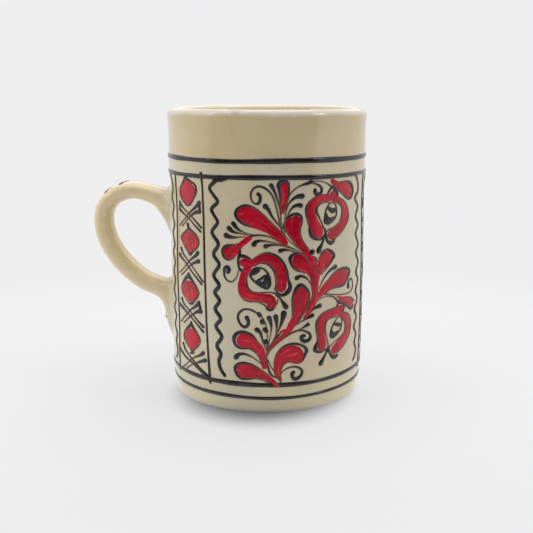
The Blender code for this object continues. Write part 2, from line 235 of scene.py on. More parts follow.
# Petals of a spray: left and right edges from base to tip, from the spray's centre
PETALS = [
    ([(-7.7, 12.6), (-9.5, 14.4), (-12, 16.8), (-15, 18.9), (-18, 20.3), (-21, 20.7), (-23.5, 19.9),
      (-24.8, 18.4)],
     [(-8.2, 11.7), (-10.3, 13), (-13.3, 14.9), (-16.5, 15.3), (-19.5, 14.9), (-22, 14.9), (-23.9, 16.2),
      (-24.8, 18.2)]),
    ([(-13.5, 18.8), (-14.3, 21.5), (-15.6, 24.4), (-17.5, 26.7), (-19.5, 27.5), (-21.6, 27.4),
      (-23.4, 28.3), (-24.3, 29.8)],
     [(-12.2, 19), (-12.6, 23), (-13.3, 27), (-15, 29.2), (-17.2, 31.8), (-19.5, 33.2), (-22, 33),
      (-24.2, 31)]),
    ([(-6.9, 14), (-8.9, 17), (-9, 20), (-8.2, 23.5), (-6.6, 26.3), (-4, 27.9), (-1, 28), (1.5, 26.8),
      (2.9, 25)],
     [(-6.3, 14.3), (-6.9, 17), (-6.6, 19.3), (-5, 21.2), (-2.8, 21.4), (-0.8, 20.7), (1.2, 20.9),
      (2.6, 22.2), (3, 24.3)]),
    ([(-3.4, 35.3), (-2.9, 37.5), (-2, 40), (-1.7, 43), (-1.6, 46), (-1.1, 48.6), (-0.1, 50.5),
      (1.2, 51.6)],
     [(-1.8, 35.6), (0, 37.8), (1.6, 40), (3.1, 42.6), (4.2, 45.2), (4.7, 47.6), (4.2, 49.8), (2, 51.6)]),
    ([(9.2, 48.3), (10.3, 50.2), (12.3, 52.1), (15, 54.2), (17.5, 55.7), (20.5, 56.5), (23, 56.4),
      (25.3, 55.5), (26.3, 54.4)],
     [(9, 46.5), (10.7, 47.2), (12.8, 48.6), (15, 49.6), (18, 50.2), (21, 50.1), (23, 50.5), (25, 52),
      (26.2, 54)]),
    ([(18.6, 46), (21, 45.4), (24, 44.7), (27, 44), (29.3, 43), (31, 41.8)],
     [(19.7, 45), (21, 43.8), (23.3, 42.7), (25.8, 41.3), (28, 40), (29.8, 39.5), (30.9, 40.2),
      (31.2, 41.3)]),
    ([(-3.9, 69), (-5.5, 68.6), (-7.6, 70.2), (-10, 72.2), (-12.5, 73.7), (-15.5, 74.8), (-18.5, 75.8),
      (-21, 76.8), (-22.8, 78.2), (-23.6, 79.6)],
     [(-3.9, 69.6), (-5.2, 71.5), (-8, 74.6), (-11, 77.7), (-14, 80.6), (-17, 82.6), (-19.5, 83.5),
      (-22, 82.9), (-23.3, 81.6), (-23.7, 80.2)]),
    ([(7.2, 55), (6.3, 58), (4.8, 61.5), (3, 64.2), (0.8, 67), (-1.5, 69.5), (-3.3, 72), (-4.6, 74.8),
      (-4.6, 77.2), (-3.2, 79), (-1.6, 79.7)],
     [(8.6, 55), (8, 58), (7.2, 61), (6, 63.8), (4.4, 66.2), (2.8, 68.5), (1.5, 71), (0.9, 73.5), (1, 76),
      (1.2, 78), (0.2, 79.4), (-1, 79.9)]),
    ([(-6.9, 80.6), (-6.8, 83), (-6.5, 86), (-6.6, 89), (-6.8, 91.5), (-6, 92.9)],
     [(-6.3, 80.6), (-5, 83), (-4.2, 86), (-3.9, 89), (-4.2, 91.5), (-5.2, 92.9)]),
    ([(-18.6, 72.2), (-20.5, 71), (-22.3, 69.6), (-24, 68.2), (-25.8, 67.5), (-27.8, 67.3), (-29.1, 66.4),
      (-29.5, 65)],
     [(-17.8, 71.3), (-19.5, 69.8), (-21.2, 68.4), (-22.6, 66.6), (-23.7, 65), (-25.3, 63.7), (-27.3, 62.9),
      (-28.9, 63.5), (-29.5, 64.8)]),
    ([(6.4, 53.5), (5.3, 55.5), (4, 56.8), (2.5, 57.8), (0.8, 58.4), (-0.8, 59.2), (-2, 60.8),
      (-2.2, 61.6)],
     [(7.4, 57.5), (6.6, 60), (5.2, 62), (3.2, 63.6), (1, 64.4), (-0.6, 64.3), (-1.8, 63), (-2.2, 61.9)]),
    ([(2.5, 38.8), (3.9, 41.0), (4.7, 42.6), (5.5, 44.6), (6.3, 46.8), (6.6, 48.3), (6.2, 50.5), (6, 53),
      (5.4, 55.5), (4.6, 57.5), (4.4, 59.5)],
     [(2.7, 38.6), (4.6, 39.9), (6.2, 41.8), (7.7, 44), (8.9, 46), (9, 47.8), (8.8, 50), (9, 52.5),
      (9.5, 55), (9.4, 57.5), (8, 60.5)]),
    ([(8.4, 55.5), (8.6, 59), (9.2, 61.5), (10.2, 63.8), (11.8, 65), (13.3, 65)],
     [(9.8, 55.8), (11.5, 57.8), (13.5, 59.5), (15.3, 61.2), (15.8, 62.8), (15, 64.2), (13.8, 64.9)]),
    ([(14.3, 92.6), (15.2, 93.4), (17, 92.6), (19, 91.8), (21.5, 91.4), (24, 91.3), (26, 90.4),
      (27.5, 88.7), (27.8, 87.2)],
     [(14.6, 92), (16.2, 90.9), (18, 89), (20, 88), (22, 86.8), (24, 85.6), (26, 85.3), (27.4, 86),
      (27.8, 86.9)]),
    ([(13.4, 86), (14, 87.2), (15.2, 88.5), (15.8, 89)], [(18.2, 85.5), (17.8, 87), (17, 88.3), (16, 89)]),
]
# Broad red strokes of a spray: stems, and the ring of petals of each flower
RED_STROKES = [
    [(-11.3, 26.6, 0.7), (-9.5, 28.8, 1.0), (-7.3, 30.9, 1.2), (-5, 32.9, 1.6), (-3.2, 34.8, 2.3),
     (-2.2, 36.6, 3.0)],
    [(-6.5, 33.8, 0.7), (-5.2, 34.6, 0.8)],
    [(6.2, 63.2, 1.0), (7.3, 62.2, 1.3), (8, 61.8, 0.9)],
    [(9, 86.5, 1.2), (11, 87, 1.5), (12.8, 87, 0.8)],
    [(16, 86.3, 2.6), (13, 85.9, 2.4), (10, 85.8, 3), (7.2, 84.8, 3.9), (5.9, 82.5, 3.7), (5.9, 80, 3.5),
     (6.7, 77.3, 3.9), (7.9, 74.8, 4.5), (8.9, 72.9, 4.7), (9, 72.4, 4.3)],
    [(16.5, 85.6, 2.6), (19.5, 84.5, 2.7), (21.8, 83, 3.2), (23.3, 80.8, 3.8), (23.6, 78.2, 4),
     (22.6, 75.8, 4.2), (20.4, 73.9, 4.4), (17.7, 72.5, 4.6), (15.8, 71.5, 4.3)],
    [(-18.6, 61.3, 3.2), (-20.3, 61.6, 3.8), (-21.2, 61.5, 3.0)],
    [(-18.6, 61.2, 2.8), (-16.3, 62.2, 2.8), (-14, 63.3, 3), (-11.5, 63.3, 3.6), (-9.2, 62, 4),
     (-7.4, 59.8, 4.3), (-6.6, 57, 4.4), (-6.3, 54, 4.2), (-6.4, 52, 3.8)],
    [(-19.2, 60.2, 2.6), (-20.6, 57.6, 2.9), (-21.5, 54.8, 2.9), (-21.7, 52, 3.6), (-20.9, 49.6, 4),
     (-18.8, 48.2, 3.4), (-16, 47.9, 3.1), (-13, 47.6, 3.4), (-10.9, 46.8, 4.3), (-10.3, 45.6, 3.6),
     (-10.6, 44.8, 2.8)],
    [(20, 39.4, 2.5), (17, 39.6, 2.8), (14, 39, 3), (11.7, 37.5, 3.6), (10.6, 35.2, 3.6), (10.8, 32, 3.4),
     (11.2, 29, 4), (11.4, 27.2, 4.3), (11.3, 26.8, 4.1)],
    [(20, 39.5, 2.4), (22, 38.2, 2.8), (24.5, 36.3, 3.4), (26.3, 34, 3.7), (26.8, 31.5, 3.9), (25.8, 29, 4),
     (23.5, 27, 4.2), (21, 25.5, 4.3), (19, 24.4, 4.0), (18.2, 24, 3.7)],
    [(19.5, 40.3, 2.8), (21.5, 40.7, 2.6), (22.7, 40.6, 1.8)],
]
RED_OVER_RING = [(-10.1, 13.6, 0.9), (-9.1, 12.9, 1.5), (-8.2, 12.2, 1.6), (-7.6, 11.8, 1.2)]
# Trailed dark lines of a spray
DARK_STROKES = [
    # outlines of the petals
    [(-10.5, 15.2, 0.3), (-13.5, 17.8, 0.4), (-16.5, 19.9, 0.6), (-19, 20.9, 0.8), (-21.5, 21.1, 1),
     (-23.7, 20.4, 1.2), (-25, 19, 1.4), (-24.9, 17.3, 1.1), (-24, 15.5, 1), (-22, 14.4, 0.9),
     (-19.5, 14.5, 0.8), (-17, 14.9, 0.7), (-14, 14.4, 0.5), (-11.5, 13.2, 0.3)],
    [(-14.6, 28.3, 0.4), (-16, 30.3, 0.6), (-17.6, 32.3, 0.9), (-19.8, 33.5, 1.1), (-22.4, 33.7, 1.3),
     (-24.4, 32.7, 1.6), (-25.4, 31, 1.6), (-25.1, 29, 1.2), (-23.8, 27.5, 1), (-21.6, 27, 0.8),
     (-19.3, 27.2, 0.8), (-17.2, 26.1, 0.6), (-15.2, 23.8, 0.5), (-14.1, 21.2, 0.4)],
    [(-9.2, 18.5, 0.3), (-9.1, 22, 0.4), (-8.1, 25, 0.6), (-6.1, 27.5, 0.7), (-3.5, 28.7, 0.9),
     (-0.5, 28.8, 1), (2, 28, 1), (3.6, 26.9, 1.3), (4.3, 25.6, 1.6), (3.8, 24.4, 1.3), (3.2, 22.8, 0.9),
     (2.1, 21.2, 0.6), (0.5, 20.6, 0.4)],
    [(-6.5, 16.5, 0.3), (-6.3, 18.8, 0.5), (-5.2, 20.7, 0.6), (-3.5, 21.6, 0.6), (-1.8, 21.3, 0.5)],
    [(-2, 40, 0.4), (-1.9, 42, 0.6), (-2, 44.5, 0.7), (-1.9, 47.5, 0.8), (-1.1, 50, 1), (0, 51.7, 1.5),
     (1.3, 52.4, 1.8), (3.1, 51.6, 1.2), (4.7, 49.8, 0.9), (5.2, 47.4, 0.7), (4.6, 44.6, 0.6),
     (3.3, 42, 0.5), (1.8, 39.9, 0.4), (0.3, 38, 0.35)],
    [(13.6, 53, 0.4), (15.2, 54.4, 0.6), (17, 55.8, 0.7), (20, 56.9, 0.8), (23.5, 57, 1), (26, 56.3, 1.3),
     (27.1, 55.4, 1.3), (26.4, 53.5, 1.1), (25, 51.6, 0.9), (23.2, 50.2, 0.9), (21, 49.7, 0.8),
     (18, 49.8, 0.7), (15, 49.2, 0.5), (12.5, 48, 0.4)],
    [(23.5, 45.1, 0.3), (26, 44.6, 0.4), (28.5, 43.9, 0.7), (30.4, 43, 0.9), (31.7, 42, 0.8)],
    [(20.2, 44.1, 0.5), (22, 43, 0.8), (24.5, 41.6, 0.9), (26.8, 40.1, 0.9), (28.8, 39.1, 1),
     (30.1, 39.2, 0.9), (31.2, 40.3, 0.5)],
    [(-4.8, 71.8, 0.4), (-8, 75, 0.5), (-11, 78, 0.5), (-14, 80.9, 0.6), (-17, 83.1, 0.7),
     (-19.6, 84.0, 0.9), (-22, 83.5, 1.1), (-23.8, 82.0, 1.4), (-24.4, 80.4, 1.3), (-23.8, 78.9, 1.1),
     (-22.4, 77.5, 1.0), (-20.3, 76.4, 0.9), (-18, 75.7, 0.6)],
    [(-0.5, 69, 0.3), (-2.5, 71, 0.4), (-4.3, 73.5, 0.5), (-5.3, 76, 0.6), (-4.9, 78, 0.7),
     (-3.5, 79.6, 1.0), (-1.8, 80.4, 1.1), (0.2, 80.4, 1.3), (1.3, 79.6, 1.1), (1.7, 78.3, 0.9),
     (1.7, 76.8, 0.7), (1.2, 75, 0.6), (1.1, 73, 0.6), (1.6, 71, 0.5), (2.8, 69, 0.5), (4.3, 67, 0.5),
     (5.6, 65, 0.4)],
    [(-6.7, 81.5, 0.4), (-6.9, 84.5, 0.6), (-7, 87, 0.8), (-7.3, 89.8, 1.1), (-7.6, 92.2, 1.6),
     (-7, 93.2, 1.2), (-5.6, 93.4, 1), (-4.2, 93, 1), (-3.7, 91.3, 0.9), (-3.6, 89, 0.8), (-4, 86, 0.6),
     (-4.7, 83.5, 0.5), (-5.9, 81.3, 0.3)],
    [(-23.6, 68.9, 0.4), (-25, 68.4, 0.7), (-26.8, 68.2, 0.9), (-28.6, 67.7, 1.2), (-29.9, 66.4, 1.1),
     (-30, 64.8, 0.9), (-29.1, 63.1, 0.9), (-27.6, 62.4, 0.8), (-26, 62.8, 0.6), (-24.6, 63.9, 0.4)],
    [(1.8, 64.9, 0.4), (-0.3, 65.1, 0.9), (-1.8, 64.6, 1.4), (-2.9, 63.3, 1.6), (-2.8, 61.8, 1.1),
     (-2.2, 60.3, 0.9), (-1, 58.9, 0.8), (0.6, 58.1, 0.8), (2, 57.6, 0.5), (3, 57, 0.3)],
    [(9.4, 62.2, 0.4), (10.4, 64.2, 0.7), (12, 65.4, 0.9), (13.6, 65.6, 0.9), (15, 65, 1.1),
     (16.5, 63.8, 1.3), (17, 62.7, 1.4), (16.2, 61.6, 1), (15.2, 60.3, 0.8), (13.5, 58.7, 0.7),
     (12, 57.2, 0.5), (10.5, 55.7, 0.4)],
    [(19.3, 92, 0.4), (22, 92, 0.6), (24.5, 91.8, 0.9), (26.5, 91, 1.3), (28, 89.6, 1.5), (28.7, 88, 1.3),
     (28.4, 86.3, 1.1), (27.2, 85, 1.1), (25.3, 84.9, 0.9), (23.3, 85.8, 0.8), (21.5, 87, 0.7),
     (19.8, 88.2, 0.6), (18.7, 88.7, 0.4)],
    # flower at the upper right
    [(12.9, 87.2, 0.8), (13.7, 88.6, 0.9), (14.8, 89.8, 1), (15.8, 90.2, 1.6), (16.7, 89.5, 1.4),
     (17.8, 88.3, 1.1), (18.5, 87, 1.1), (18.3, 85.9, 0.6)],
    [(15.7, 90.4, 1.1), (15, 90.5, 0.9), (13.6, 91.3, 0.7), (12, 92.1, 0.5), (9, 92.9, 0.4),
     (6.3, 92.9, 0.35)],
    [(9.2, 87.4, 0.4), (6.5, 86.3, 0.5), (4.4, 84.6, 0.7), (3.5, 82.5, 0.9), (3.6, 80, 0.8),
     (4.3, 77.5, 0.7), (5, 75, 0.9), (5.3, 73.3, 1.4), (5.9, 71.8, 1.8), (7.1, 70.7, 1.3), (8.7, 70.1, 1),
     (10.3, 70.2, 1.1), (11.5, 70.9, 1), (12.3, 71.7, 1.4)],
    [(12.5, 72.2, 1.3), (12.2, 73.3, 1), (11.2, 75, 0.7), (10, 77.3, 0.7), (8.8, 79.5, 0.9), (8.1, 81.2, 1),
     (8.3, 82.7, 0.8), (9.6, 83.9, 0.7), (11.5, 84.4, 0.6), (13.3, 84.4, 0.5), (15, 83.9, 0.4)],
    [(17.2, 84.2, 0.4), (19.3, 83.3, 0.5), (20.9, 82, 0.7), (21.4, 80, 0.8), (20.9, 77.8, 0.7),
     (19.6, 75.9, 0.6), (17.5, 74.7, 0.5), (15.2, 73.9, 0.5), (13.5, 73.3, 0.7), (12.5, 72.8, 0.8)],
    [(18.6, 85.7, 0.35), (21, 85, 0.5), (23.3, 83.5, 0.6), (25, 81.3, 0.6), (25.8, 78.8, 0.6),
     (25.5, 76.5, 0.7), (24, 74.3, 0.6), (22, 72.5, 0.6), (19.5, 70.9, 0.6), (17.5, 69.8, 0.7)],
    [(12.8, 71.4, 1.1), (12.9, 69.9, 1.2), (13.9, 68.6, 1.5), (15.3, 68.1, 1.8), (16.6, 68.8, 1.4),
     (17.3, 69.8, 0.8)],
    [(14.8, 84, 0.6), (13.3, 82.8, 0.7), (12.4, 80.7, 0.8), (12, 78.3, 0.9), (12.1, 76.7, 1.2),
     (13.2, 76.1, 1.3), (15, 76.4, 1), (16.8, 77.4, 0.9), (17.9, 79, 0.8), (18.1, 81, 0.8), (17.4, 83, 0.7),
     (16.2, 84, 0.5), (15, 84.1, 0.5)],
    [(12.7, 79.6, 1.2), (13.2, 77.8, 2.3), (14.6, 77.3, 2), (16.4, 78, 1.1)],
    [(13.5, 82.3, 1.2), (14.8, 81.3, 1.9), (16.3, 80.8, 2.1), (17.6, 81.2, 1.4)],
    [(11.7, 70.4, 0.8), (11, 68.8, 1), (10.2, 67.2, 1.6), (9.4, 66, 2.4), (9.2, 65.5, 2.3)],
    [(6.3, 65.3, 2.2), (6.1, 65.1, 2.2)],
    [(7, 63.5, 0.35), (8.2, 62.5, 0.6), (8.3, 61.3, 0.7), (7.6, 60.2, 0.4)],
    [(7.9, 59.4, 0.7), (8.1, 57.8, 0.6)],
    # flower at the left
    [(-18, 62.6, 0.4), (-16.5, 63.8, 0.4), (-14.5, 65, 0.5), (-12, 65.6, 0.8), (-9.5, 65, 0.9),
     (-7, 63.3, 1), (-5.2, 60.7, 1), (-4.1, 57.8, 0.9), (-3.6, 55, 0.9), (-3.1, 53.2, 1.4),
     (-2.9, 51.8, 1.7), (-3.7, 50.2, 1.9), (-5, 49.1, 1.5), (-6.5, 48.8, 1.2), (-7.6, 49.4, 0.9),
     (-8.4, 50.6, 0.8)],
    [(-16.8, 60.3, 0.4), (-15.3, 61.3, 0.5), (-13.5, 61.6, 0.7), (-11.6, 61, 0.8), (-10, 59.5, 0.8),
     (-9, 57.5, 0.7), (-8.6, 55, 0.6), (-8.6, 52.5, 0.6), (-8.9, 51.2, 0.8)],
    [(-19.9, 56.8, 0.4), (-20, 55, 0.6), (-19.9, 53, 0.8), (-19.3, 51.4, 0.8), (-18, 50.2, 0.7),
     (-16, 49.8, 0.6), (-13, 49.9, 0.6), (-10.5, 49.9, 0.6), (-9, 49.6, 0.7), (-8, 48.6, 0.9),
     (-7.2, 47.8, 0.8)],
    [(-23.4, 50.4, 0.3), (-22.5, 48.3, 0.4), (-21, 46.9, 0.5), (-19, 46.2, 0.6), (-16.5, 46.2, 0.5),
     (-14.3, 45.7, 0.6), (-12.6, 44.5, 0.7), (-11.5, 43.1, 1.1), (-10.3, 42.9, 1.1), (-9.3, 43.7, 0.7),
     (-8.3, 45.3, 0.5), (-7.7, 47, 0.5)],
    [(-22.8, 67.4, 0.7), (-22.6, 65.9, 0.9), (-22.9, 64.5, 1.3), (-23.3, 62.8, 1), (-23.3, 60.8, 0.9),
     (-22.8, 59.3, 1), (-21.9, 58.3, 1.1), (-21, 58.4, 0.6)],
    [(-22.6, 64.2, 1.7), (-20.8, 64.1, 1.3), (-19.4, 63.6, 1.0), (-18.2, 62.8, 0.6)],
    [(-23, 59.3, 0.35), (-23.6, 57, 0.4), (-24.5, 55, 0.5), (-26, 53.8, 0.6), (-27.6, 54, 0.7),
     (-28.9, 55.3, 0.8), (-29.3, 57.3, 1), (-28.9, 59.1, 1.4), (-27.8, 59.5, 1.6), (-27.2, 58.5, 1.8),
     (-27.6, 57.6, 1.7)],
    [(-18.6, 56.6, 0.9), (-17.6, 58.4, 1.3), (-16, 59.4, 1.3), (-14.2, 59.6, 0.8), (-12.6, 58.7, 0.8),
     (-11.5, 57, 0.9), (-10.9, 54.8, 1), (-11, 52.8, 1.1), (-11.8, 51.6, 1), (-13.6, 52.1, 1),
     (-15.6, 53.3, 0.9), (-17.4, 54.8, 0.9), (-18.5, 56.2, 0.9)],
    [(-12.2, 56.4, 1.5), (-12.2, 54.6, 2.5), (-12.9, 53.2, 2.2), (-14.8, 53.8, 1.3)],
    [(-18, 57, 1.2), (-16.8, 57.8, 1.7), (-15.5, 58.6, 1.6)],
    [(-15.9, 54.4, 1), (-14.4, 55.3, 1.1), (-13, 56.4, 1.1)],
    [(-4.6, 44.1, 2.2), (-5.4, 45.3, 1.7), (-6.2, 46.6, 1), (-7, 47.8, 0.7), (-7.7, 48.8, 0.6)],
    # flower at the lower right
    [(18.9, 41.6, 0.6), (16, 41.2, 0.6), (12.5, 40.5, 0.6), (9.8, 38.8, 0.7), (8.5, 36.5, 0.8),
     (8.4, 34, 0.7), (9, 31, 0.7), (9.1, 28.6, 0.9), (8.4, 26.9, 1.6), (8.1, 25.6, 2.1), (9.3, 24.5, 1.3),
     (11, 24.2, 0.9), (13, 24.8, 0.8), (14.3, 25.3, 0.9)],
    [(14.6, 25, 0.8), (14.4, 27.5, 0.6), (13.7, 30, 0.5), (13, 32.5, 0.6), (12.9, 35, 0.7),
     (13.8, 36.8, 0.6), (16, 37.6, 0.6), (18.5, 37.6, 0.5), (20.5, 37.4, 0.4)],
    [(22.4, 36.9, 0.5), (24.1, 35.2, 0.6), (24.8, 32.5, 0.7), (24, 30.3, 0.6), (22, 28.9, 0.6),
     (19, 27.6, 0.5), (16.5, 26.4, 0.6), (15, 25.4, 0.8)],
    [(23.4, 38.7, 0.4), (25.5, 38.1, 0.6), (27.7, 36.6, 0.7), (28.9, 34.5, 0.6), (29.2, 32, 0.5),
     (28.6, 29.5, 0.5), (27, 27.2, 0.6), (25, 25.3, 0.6), (22.5, 23.7, 0.6), (20, 22.4, 0.5)],
    [(14.8, 24.8, 1.2), (15.5, 23, 1), (16.8, 21.4, 1.5), (18.4, 20.8, 1.9), (19.7, 21.2, 1.3)],
    [(14.4, 24.8, 1.4), (13.6, 23.4, 1), (12.6, 21.9, 1.1), (11.6, 20.3, 1.9), (11, 19.4, 2.2)],
    [(8, 45.2, 0.35), (10.8, 46.4, 0.4), (14, 46.8, 0.5), (16.5, 46.2, 0.7), (18.3, 45, 0.8),
     (19.5, 43.7, 1), (20.3, 43.1, 1.1)],
    [(19.9, 43.3, 1.1), (22, 42.7, 0.9), (24, 42, 0.8), (25.8, 41.1, 0.6)],
    [(19.9, 43.2, 0.9), (19.2, 42.3, 0.8), (18.6, 41.4, 0.6)],
    [(22.6, 42.4, 0.7), (23.5, 41.5, 0.8), (23.7, 40.3, 0.9), (22.8, 39.3, 0.9), (21.6, 39.3, 0.5)],
    [(19.6, 37, 0.5), (18, 35.6, 0.7), (16.6, 33.8, 0.8), (15.8, 31.5, 0.9), (15.8, 29.9, 1),
     (16.6, 29.3, 1), (18.4, 29.7, 0.9), (20.2, 30.7, 0.8), (21.7, 32.2, 0.8), (22.3, 34, 0.7),
     (22.1, 36, 0.6), (21.2, 37.2, 0.5)],
    [(16.1, 32.4, 1), (16.6, 30.9, 2.1), (18.2, 30.5, 1.6), (19.9, 31.3, 0.9)],
    [(17.4, 34.9, 1), (19, 34.4, 1.5), (20.6, 33.9, 1.7), (22, 33.7, 1)],
    # curls, tadpoles and stems
    [(-6.4, 12.1, 0.5), (-6.7, 13.8, 0.5), (-8.2, 15.2, 0.6), (-9.8, 16, 0.8), (-11, 17.6, 0.9),
     (-11.6, 19.8, 0.8), (-12, 22, 0.7), (-12.2, 24.2, 0.6), (-12, 26, 0.45)],
    [(-7, 14.4, 0.4), (-8.8, 17.3, 0.4), (-10.5, 20, 0.4), (-11.6, 22.5, 0.4)],
    [(-12.2, 24, 0.4), (-10.8, 26.4, 0.4), (-8.6, 28.8, 0.5), (-6, 30.9, 0.6), (-3.5, 32.6, 0.7),
     (-1, 33.8, 0.8), (1.5, 34.2, 0.8), (4, 33.4, 0.9), (5.7, 32, 1.1), (5.8, 30.6, 1.4), (4.7, 29.6, 1.6),
     (3.2, 29.6, 1.7), (2, 30.5, 1.7), (2, 31.6, 1.6), (3, 31.8, 1.5)],
    [(-12, 26, 0.35), (-11, 28.3, 0.4), (-9.3, 30.5, 0.6), (-7.9, 32.2, 0.9), (-6.6, 33.5, 0.6)],
    [(-6.5, 12.2, 0.4), (-6.3, 14.5, 0.4), (-6.5, 16.5, 0.4), (-5, 18.3, 0.5), (-3, 19.2, 0.7),
     (-0.8, 19.4, 0.8), (1.2, 18.7, 0.9), (2.4, 17.4, 1.1), (2.2, 15.9, 1.3), (1, 14.7, 1.5),
     (-0.3, 14.2, 1.6), (-1.6, 15.1, 1.5), (-1.7, 16.6, 1.7), (-1.3, 17, 1.7)],
    [(-24.5, 23.3, 2.2), (-23.6, 24.3, 1.6), (-22, 24.8, 1.1), (-19.5, 24.4, 0.8), (-17, 23.1, 0.5),
     (-14.6, 21.2, 0.4)],
    [(-12.1, 25.5, 0.35), (-12, 29, 0.4), (-11.9, 33, 0.4), (-12.3, 36, 0.45), (-13.3, 39, 0.5),
     (-14.6, 40.8, 0.6), (-16.5, 42, 0.7), (-18.8, 43, 0.8), (-20.8, 43, 0.8), (-22.6, 42, 0.9),
     (-23.6, 40.2, 1), (-23.3, 38.2, 1), (-22.2, 36.5, 1.1), (-20.9, 35.8, 1.2), (-19.7, 36.5, 1.4),
     (-19.4, 38.2, 1.4), (-20, 39.6, 1.8)],
    [(-15.3, 41.3, 1.7), (-14.9, 40.8, 1.8)], [(-14, 38.5, 1.7), (-13.8, 37.9, 1.8)],
    [(-12.9, 35.1, 1.8), (-12.4, 34.5, 1.8)], [(-12.5, 30.2, 1.8), (-12.2, 29.8, 1.9)],
    [(-16, 34.9, 2), (-15, 34.2, 1.5), (-14.3, 32.7, 1), (-13.6, 30, 0.7), (-12.8, 28, 0.4),
     (-12.1, 26, 0.3)],
    [(-11.2, 39.7, 2), (-10.7, 38.3, 1.5), (-10.3, 36, 0.8), (-10.5, 33.5, 0.4), (-11.1, 30.5, 0.35),
     (-12, 26, 0.3)],
    [(-8.6, 40.2, 2), (-8.3, 38.3, 1.4), (-8.2, 36, 0.8), (-8.5, 33, 0.45), (-10, 29.5, 0.35),
     (-12, 25.5, 0.3)],
    [(-5.4, 41.4, 2.4), (-5.7, 39.7, 1.9), (-6.2, 37.9, 1.2), (-6.9, 36, 0.8), (-7.7, 34, 0.5),
     (-9.5, 30.8, 0.4)],
    [(4.7, 36.2, 1.6), (3.6, 35.7, 1), (2, 34.9, 0.6), (0, 34.1, 0.4)],
    [(6.5, 39.7, 1.9), (5, 39.1, 1.2), (3, 38.3, 0.7), (1, 37.3, 0.5), (-0.6, 36.3, 0.4)],
    [(9.9, 43.3, 2.1), (8.4, 42.9, 1.4), (7, 42.3, 0.9), (5.5, 41.1, 0.6)],
    [(-0.3, 36.9, 0.3), (1.3, 38.6, 0.4), (3, 41.2, 0.5), (4.9, 44.2, 0.4), (6.2, 46.8, 0.4),
     (6.6, 48.6, 0.4)],
    [(-0.2, 55.4, 1.9), (1.2, 56, 1.2), (2.7, 55.7, 1), (4.3, 54.6, 0.7), (5.5, 52.9, 0.5),
     (6.2, 50.8, 0.4), (6.5, 48.8, 0.3)],
    [(17.7, 58.2, 2), (16, 57.7, 1.4), (14, 56.5, 0.9), (12, 54.5, 0.7), (10.5, 52.3, 0.5),
     (9.4, 50.2, 0.3)],
    [(11, 47.6, 0.35), (14, 47.6, 0.4), (17, 47, 0.45), (20, 46.5, 0.5), (23, 46.2, 0.5), (26, 46.1, 0.55),
     (28.2, 46.5, 0.6), (29.6, 47.6, 0.7), (30, 49.2, 0.7), (29.5, 50.8, 0.7), (28.2, 51.9, 0.8),
     (27, 51.4, 0.9), (26.3, 50.2, 1.3), (26.4, 48.9, 2)],
    [(-18.4, 72.1, 1), (-16, 72.5, 0.8), (-13.5, 72.4, 0.7), (-11, 71.9, 0.6), (-8.8, 70.8, 0.5),
     (-7, 69.6, 0.4), (-4.5, 68.4, 0.35), (-2, 67.2, 0.4), (0.8, 65.6, 0.45), (3, 63.8, 0.4),
     (4.8, 61.5, 0.4), (6, 58.8, 0.35)],
    [(-25.3, 76.7, 1.9), (-24.4, 75.6, 1.5), (-23.2, 74.5, 1), (-21.5, 73.7, 0.6), (-19.5, 73, 0.4),
     (-17, 72.6, 0.3)],
    [(-27.1, 74.8, 2.1), (-26, 73.9, 1.5), (-24.5, 73.3, 1), (-22.5, 73, 0.5), (-19.5, 72.5, 0.35)],
    [(-28.3, 71.9, 2.3), (-27, 71.5, 1.7), (-25, 71.4, 1), (-23, 71.5, 0.5), (-20.5, 71.8, 0.35)],
    [(-17, 69, 2.2), (-16.4, 69.8, 1.5), (-15, 70.3, 1.1), (-12.8, 70.2, 0.7), (-10, 69.7, 0.4),
     (-7, 68.8, 0.35), (-3.5, 67.5, 0.3)],
    [(-12.5, 68.2, 1.9), (-11, 68.6, 1.1), (-9, 68.7, 0.7), (-6.5, 68.4, 0.5), (-3.5, 67.5, 0.4),
     (-1, 66.6, 0.35)],
    [(-6.8, 66.4, 1.8), (-5.3, 66.7, 1.2), (-3.5, 66.5, 0.7), (-1, 65.7, 0.5), (1.5, 64.8, 0.4),
     (3.6, 62.8, 0.35)],
    [(-5.2, 72.3, 0.5), (-6.2, 74, 0.5), (-6.9, 76, 0.5), (-7.5, 79, 0.55), (-8, 81.5, 0.6),
     (-8.8, 84.5, 0.6), (-9.6, 87, 0.7), (-11, 89.2, 0.8), (-13, 90.8, 0.9), (-15.2, 91.4, 0.9),
     (-17.2, 90.5, 0.8), (-18.2, 88.5, 0.8), (-18, 86.3, 0.7), (-17, 84.9, 0.7), (-15.8, 84.6, 0.9),
     (-14.9, 85.3, 1.2), (-14.6, 86.8, 1.2), (-14.9, 88, 1.4), (-15.4, 88.4, 1.5)],
    [(-10.4, 91.8, 1.7), (-9.7, 90.5, 1.2), (-8.8, 88.5, 0.9), (-8, 86, 0.7), (-7.2, 83.5, 0.6),
     (-6.8, 81, 0.5), (-6.6, 78, 0.45), (-6, 75, 0.4)],
    [(-12.6, 83.7, 2.2), (-11.7, 82.7, 1.6), (-10.8, 81, 1.1), (-9.7, 79.2, 0.8), (-8.3, 77.4, 0.7),
     (-7, 75.8, 0.6), (-5.8, 73.5, 0.6), (-4.5, 71.6, 0.45), (-3, 69.9, 0.4), (-1, 68.2, 0.4),
     (1.2, 66.4, 0.4)],
    [(5.5, 92.8, 1.7), (4, 92.3, 1.4), (2, 91.8, 0.9), (0, 91, 0.6), (-1.5, 90, 0.55), (-3, 88.3, 0.5),
     (-4, 86.5, 0.5), (-4.8, 84, 0.45), (-5.7, 81, 0.35)],
    [(6, 92.4, 0.7), (7.5, 91.9, 0.8), (9.2, 91.1, 1), (10.2, 89.9, 1.3), (10.1, 88.7, 1.3),
     (9.2, 87.9, 1.5), (8, 87.9, 1.8), (7.2, 88.8, 1.7), (7.2, 89.5, 1.5)],
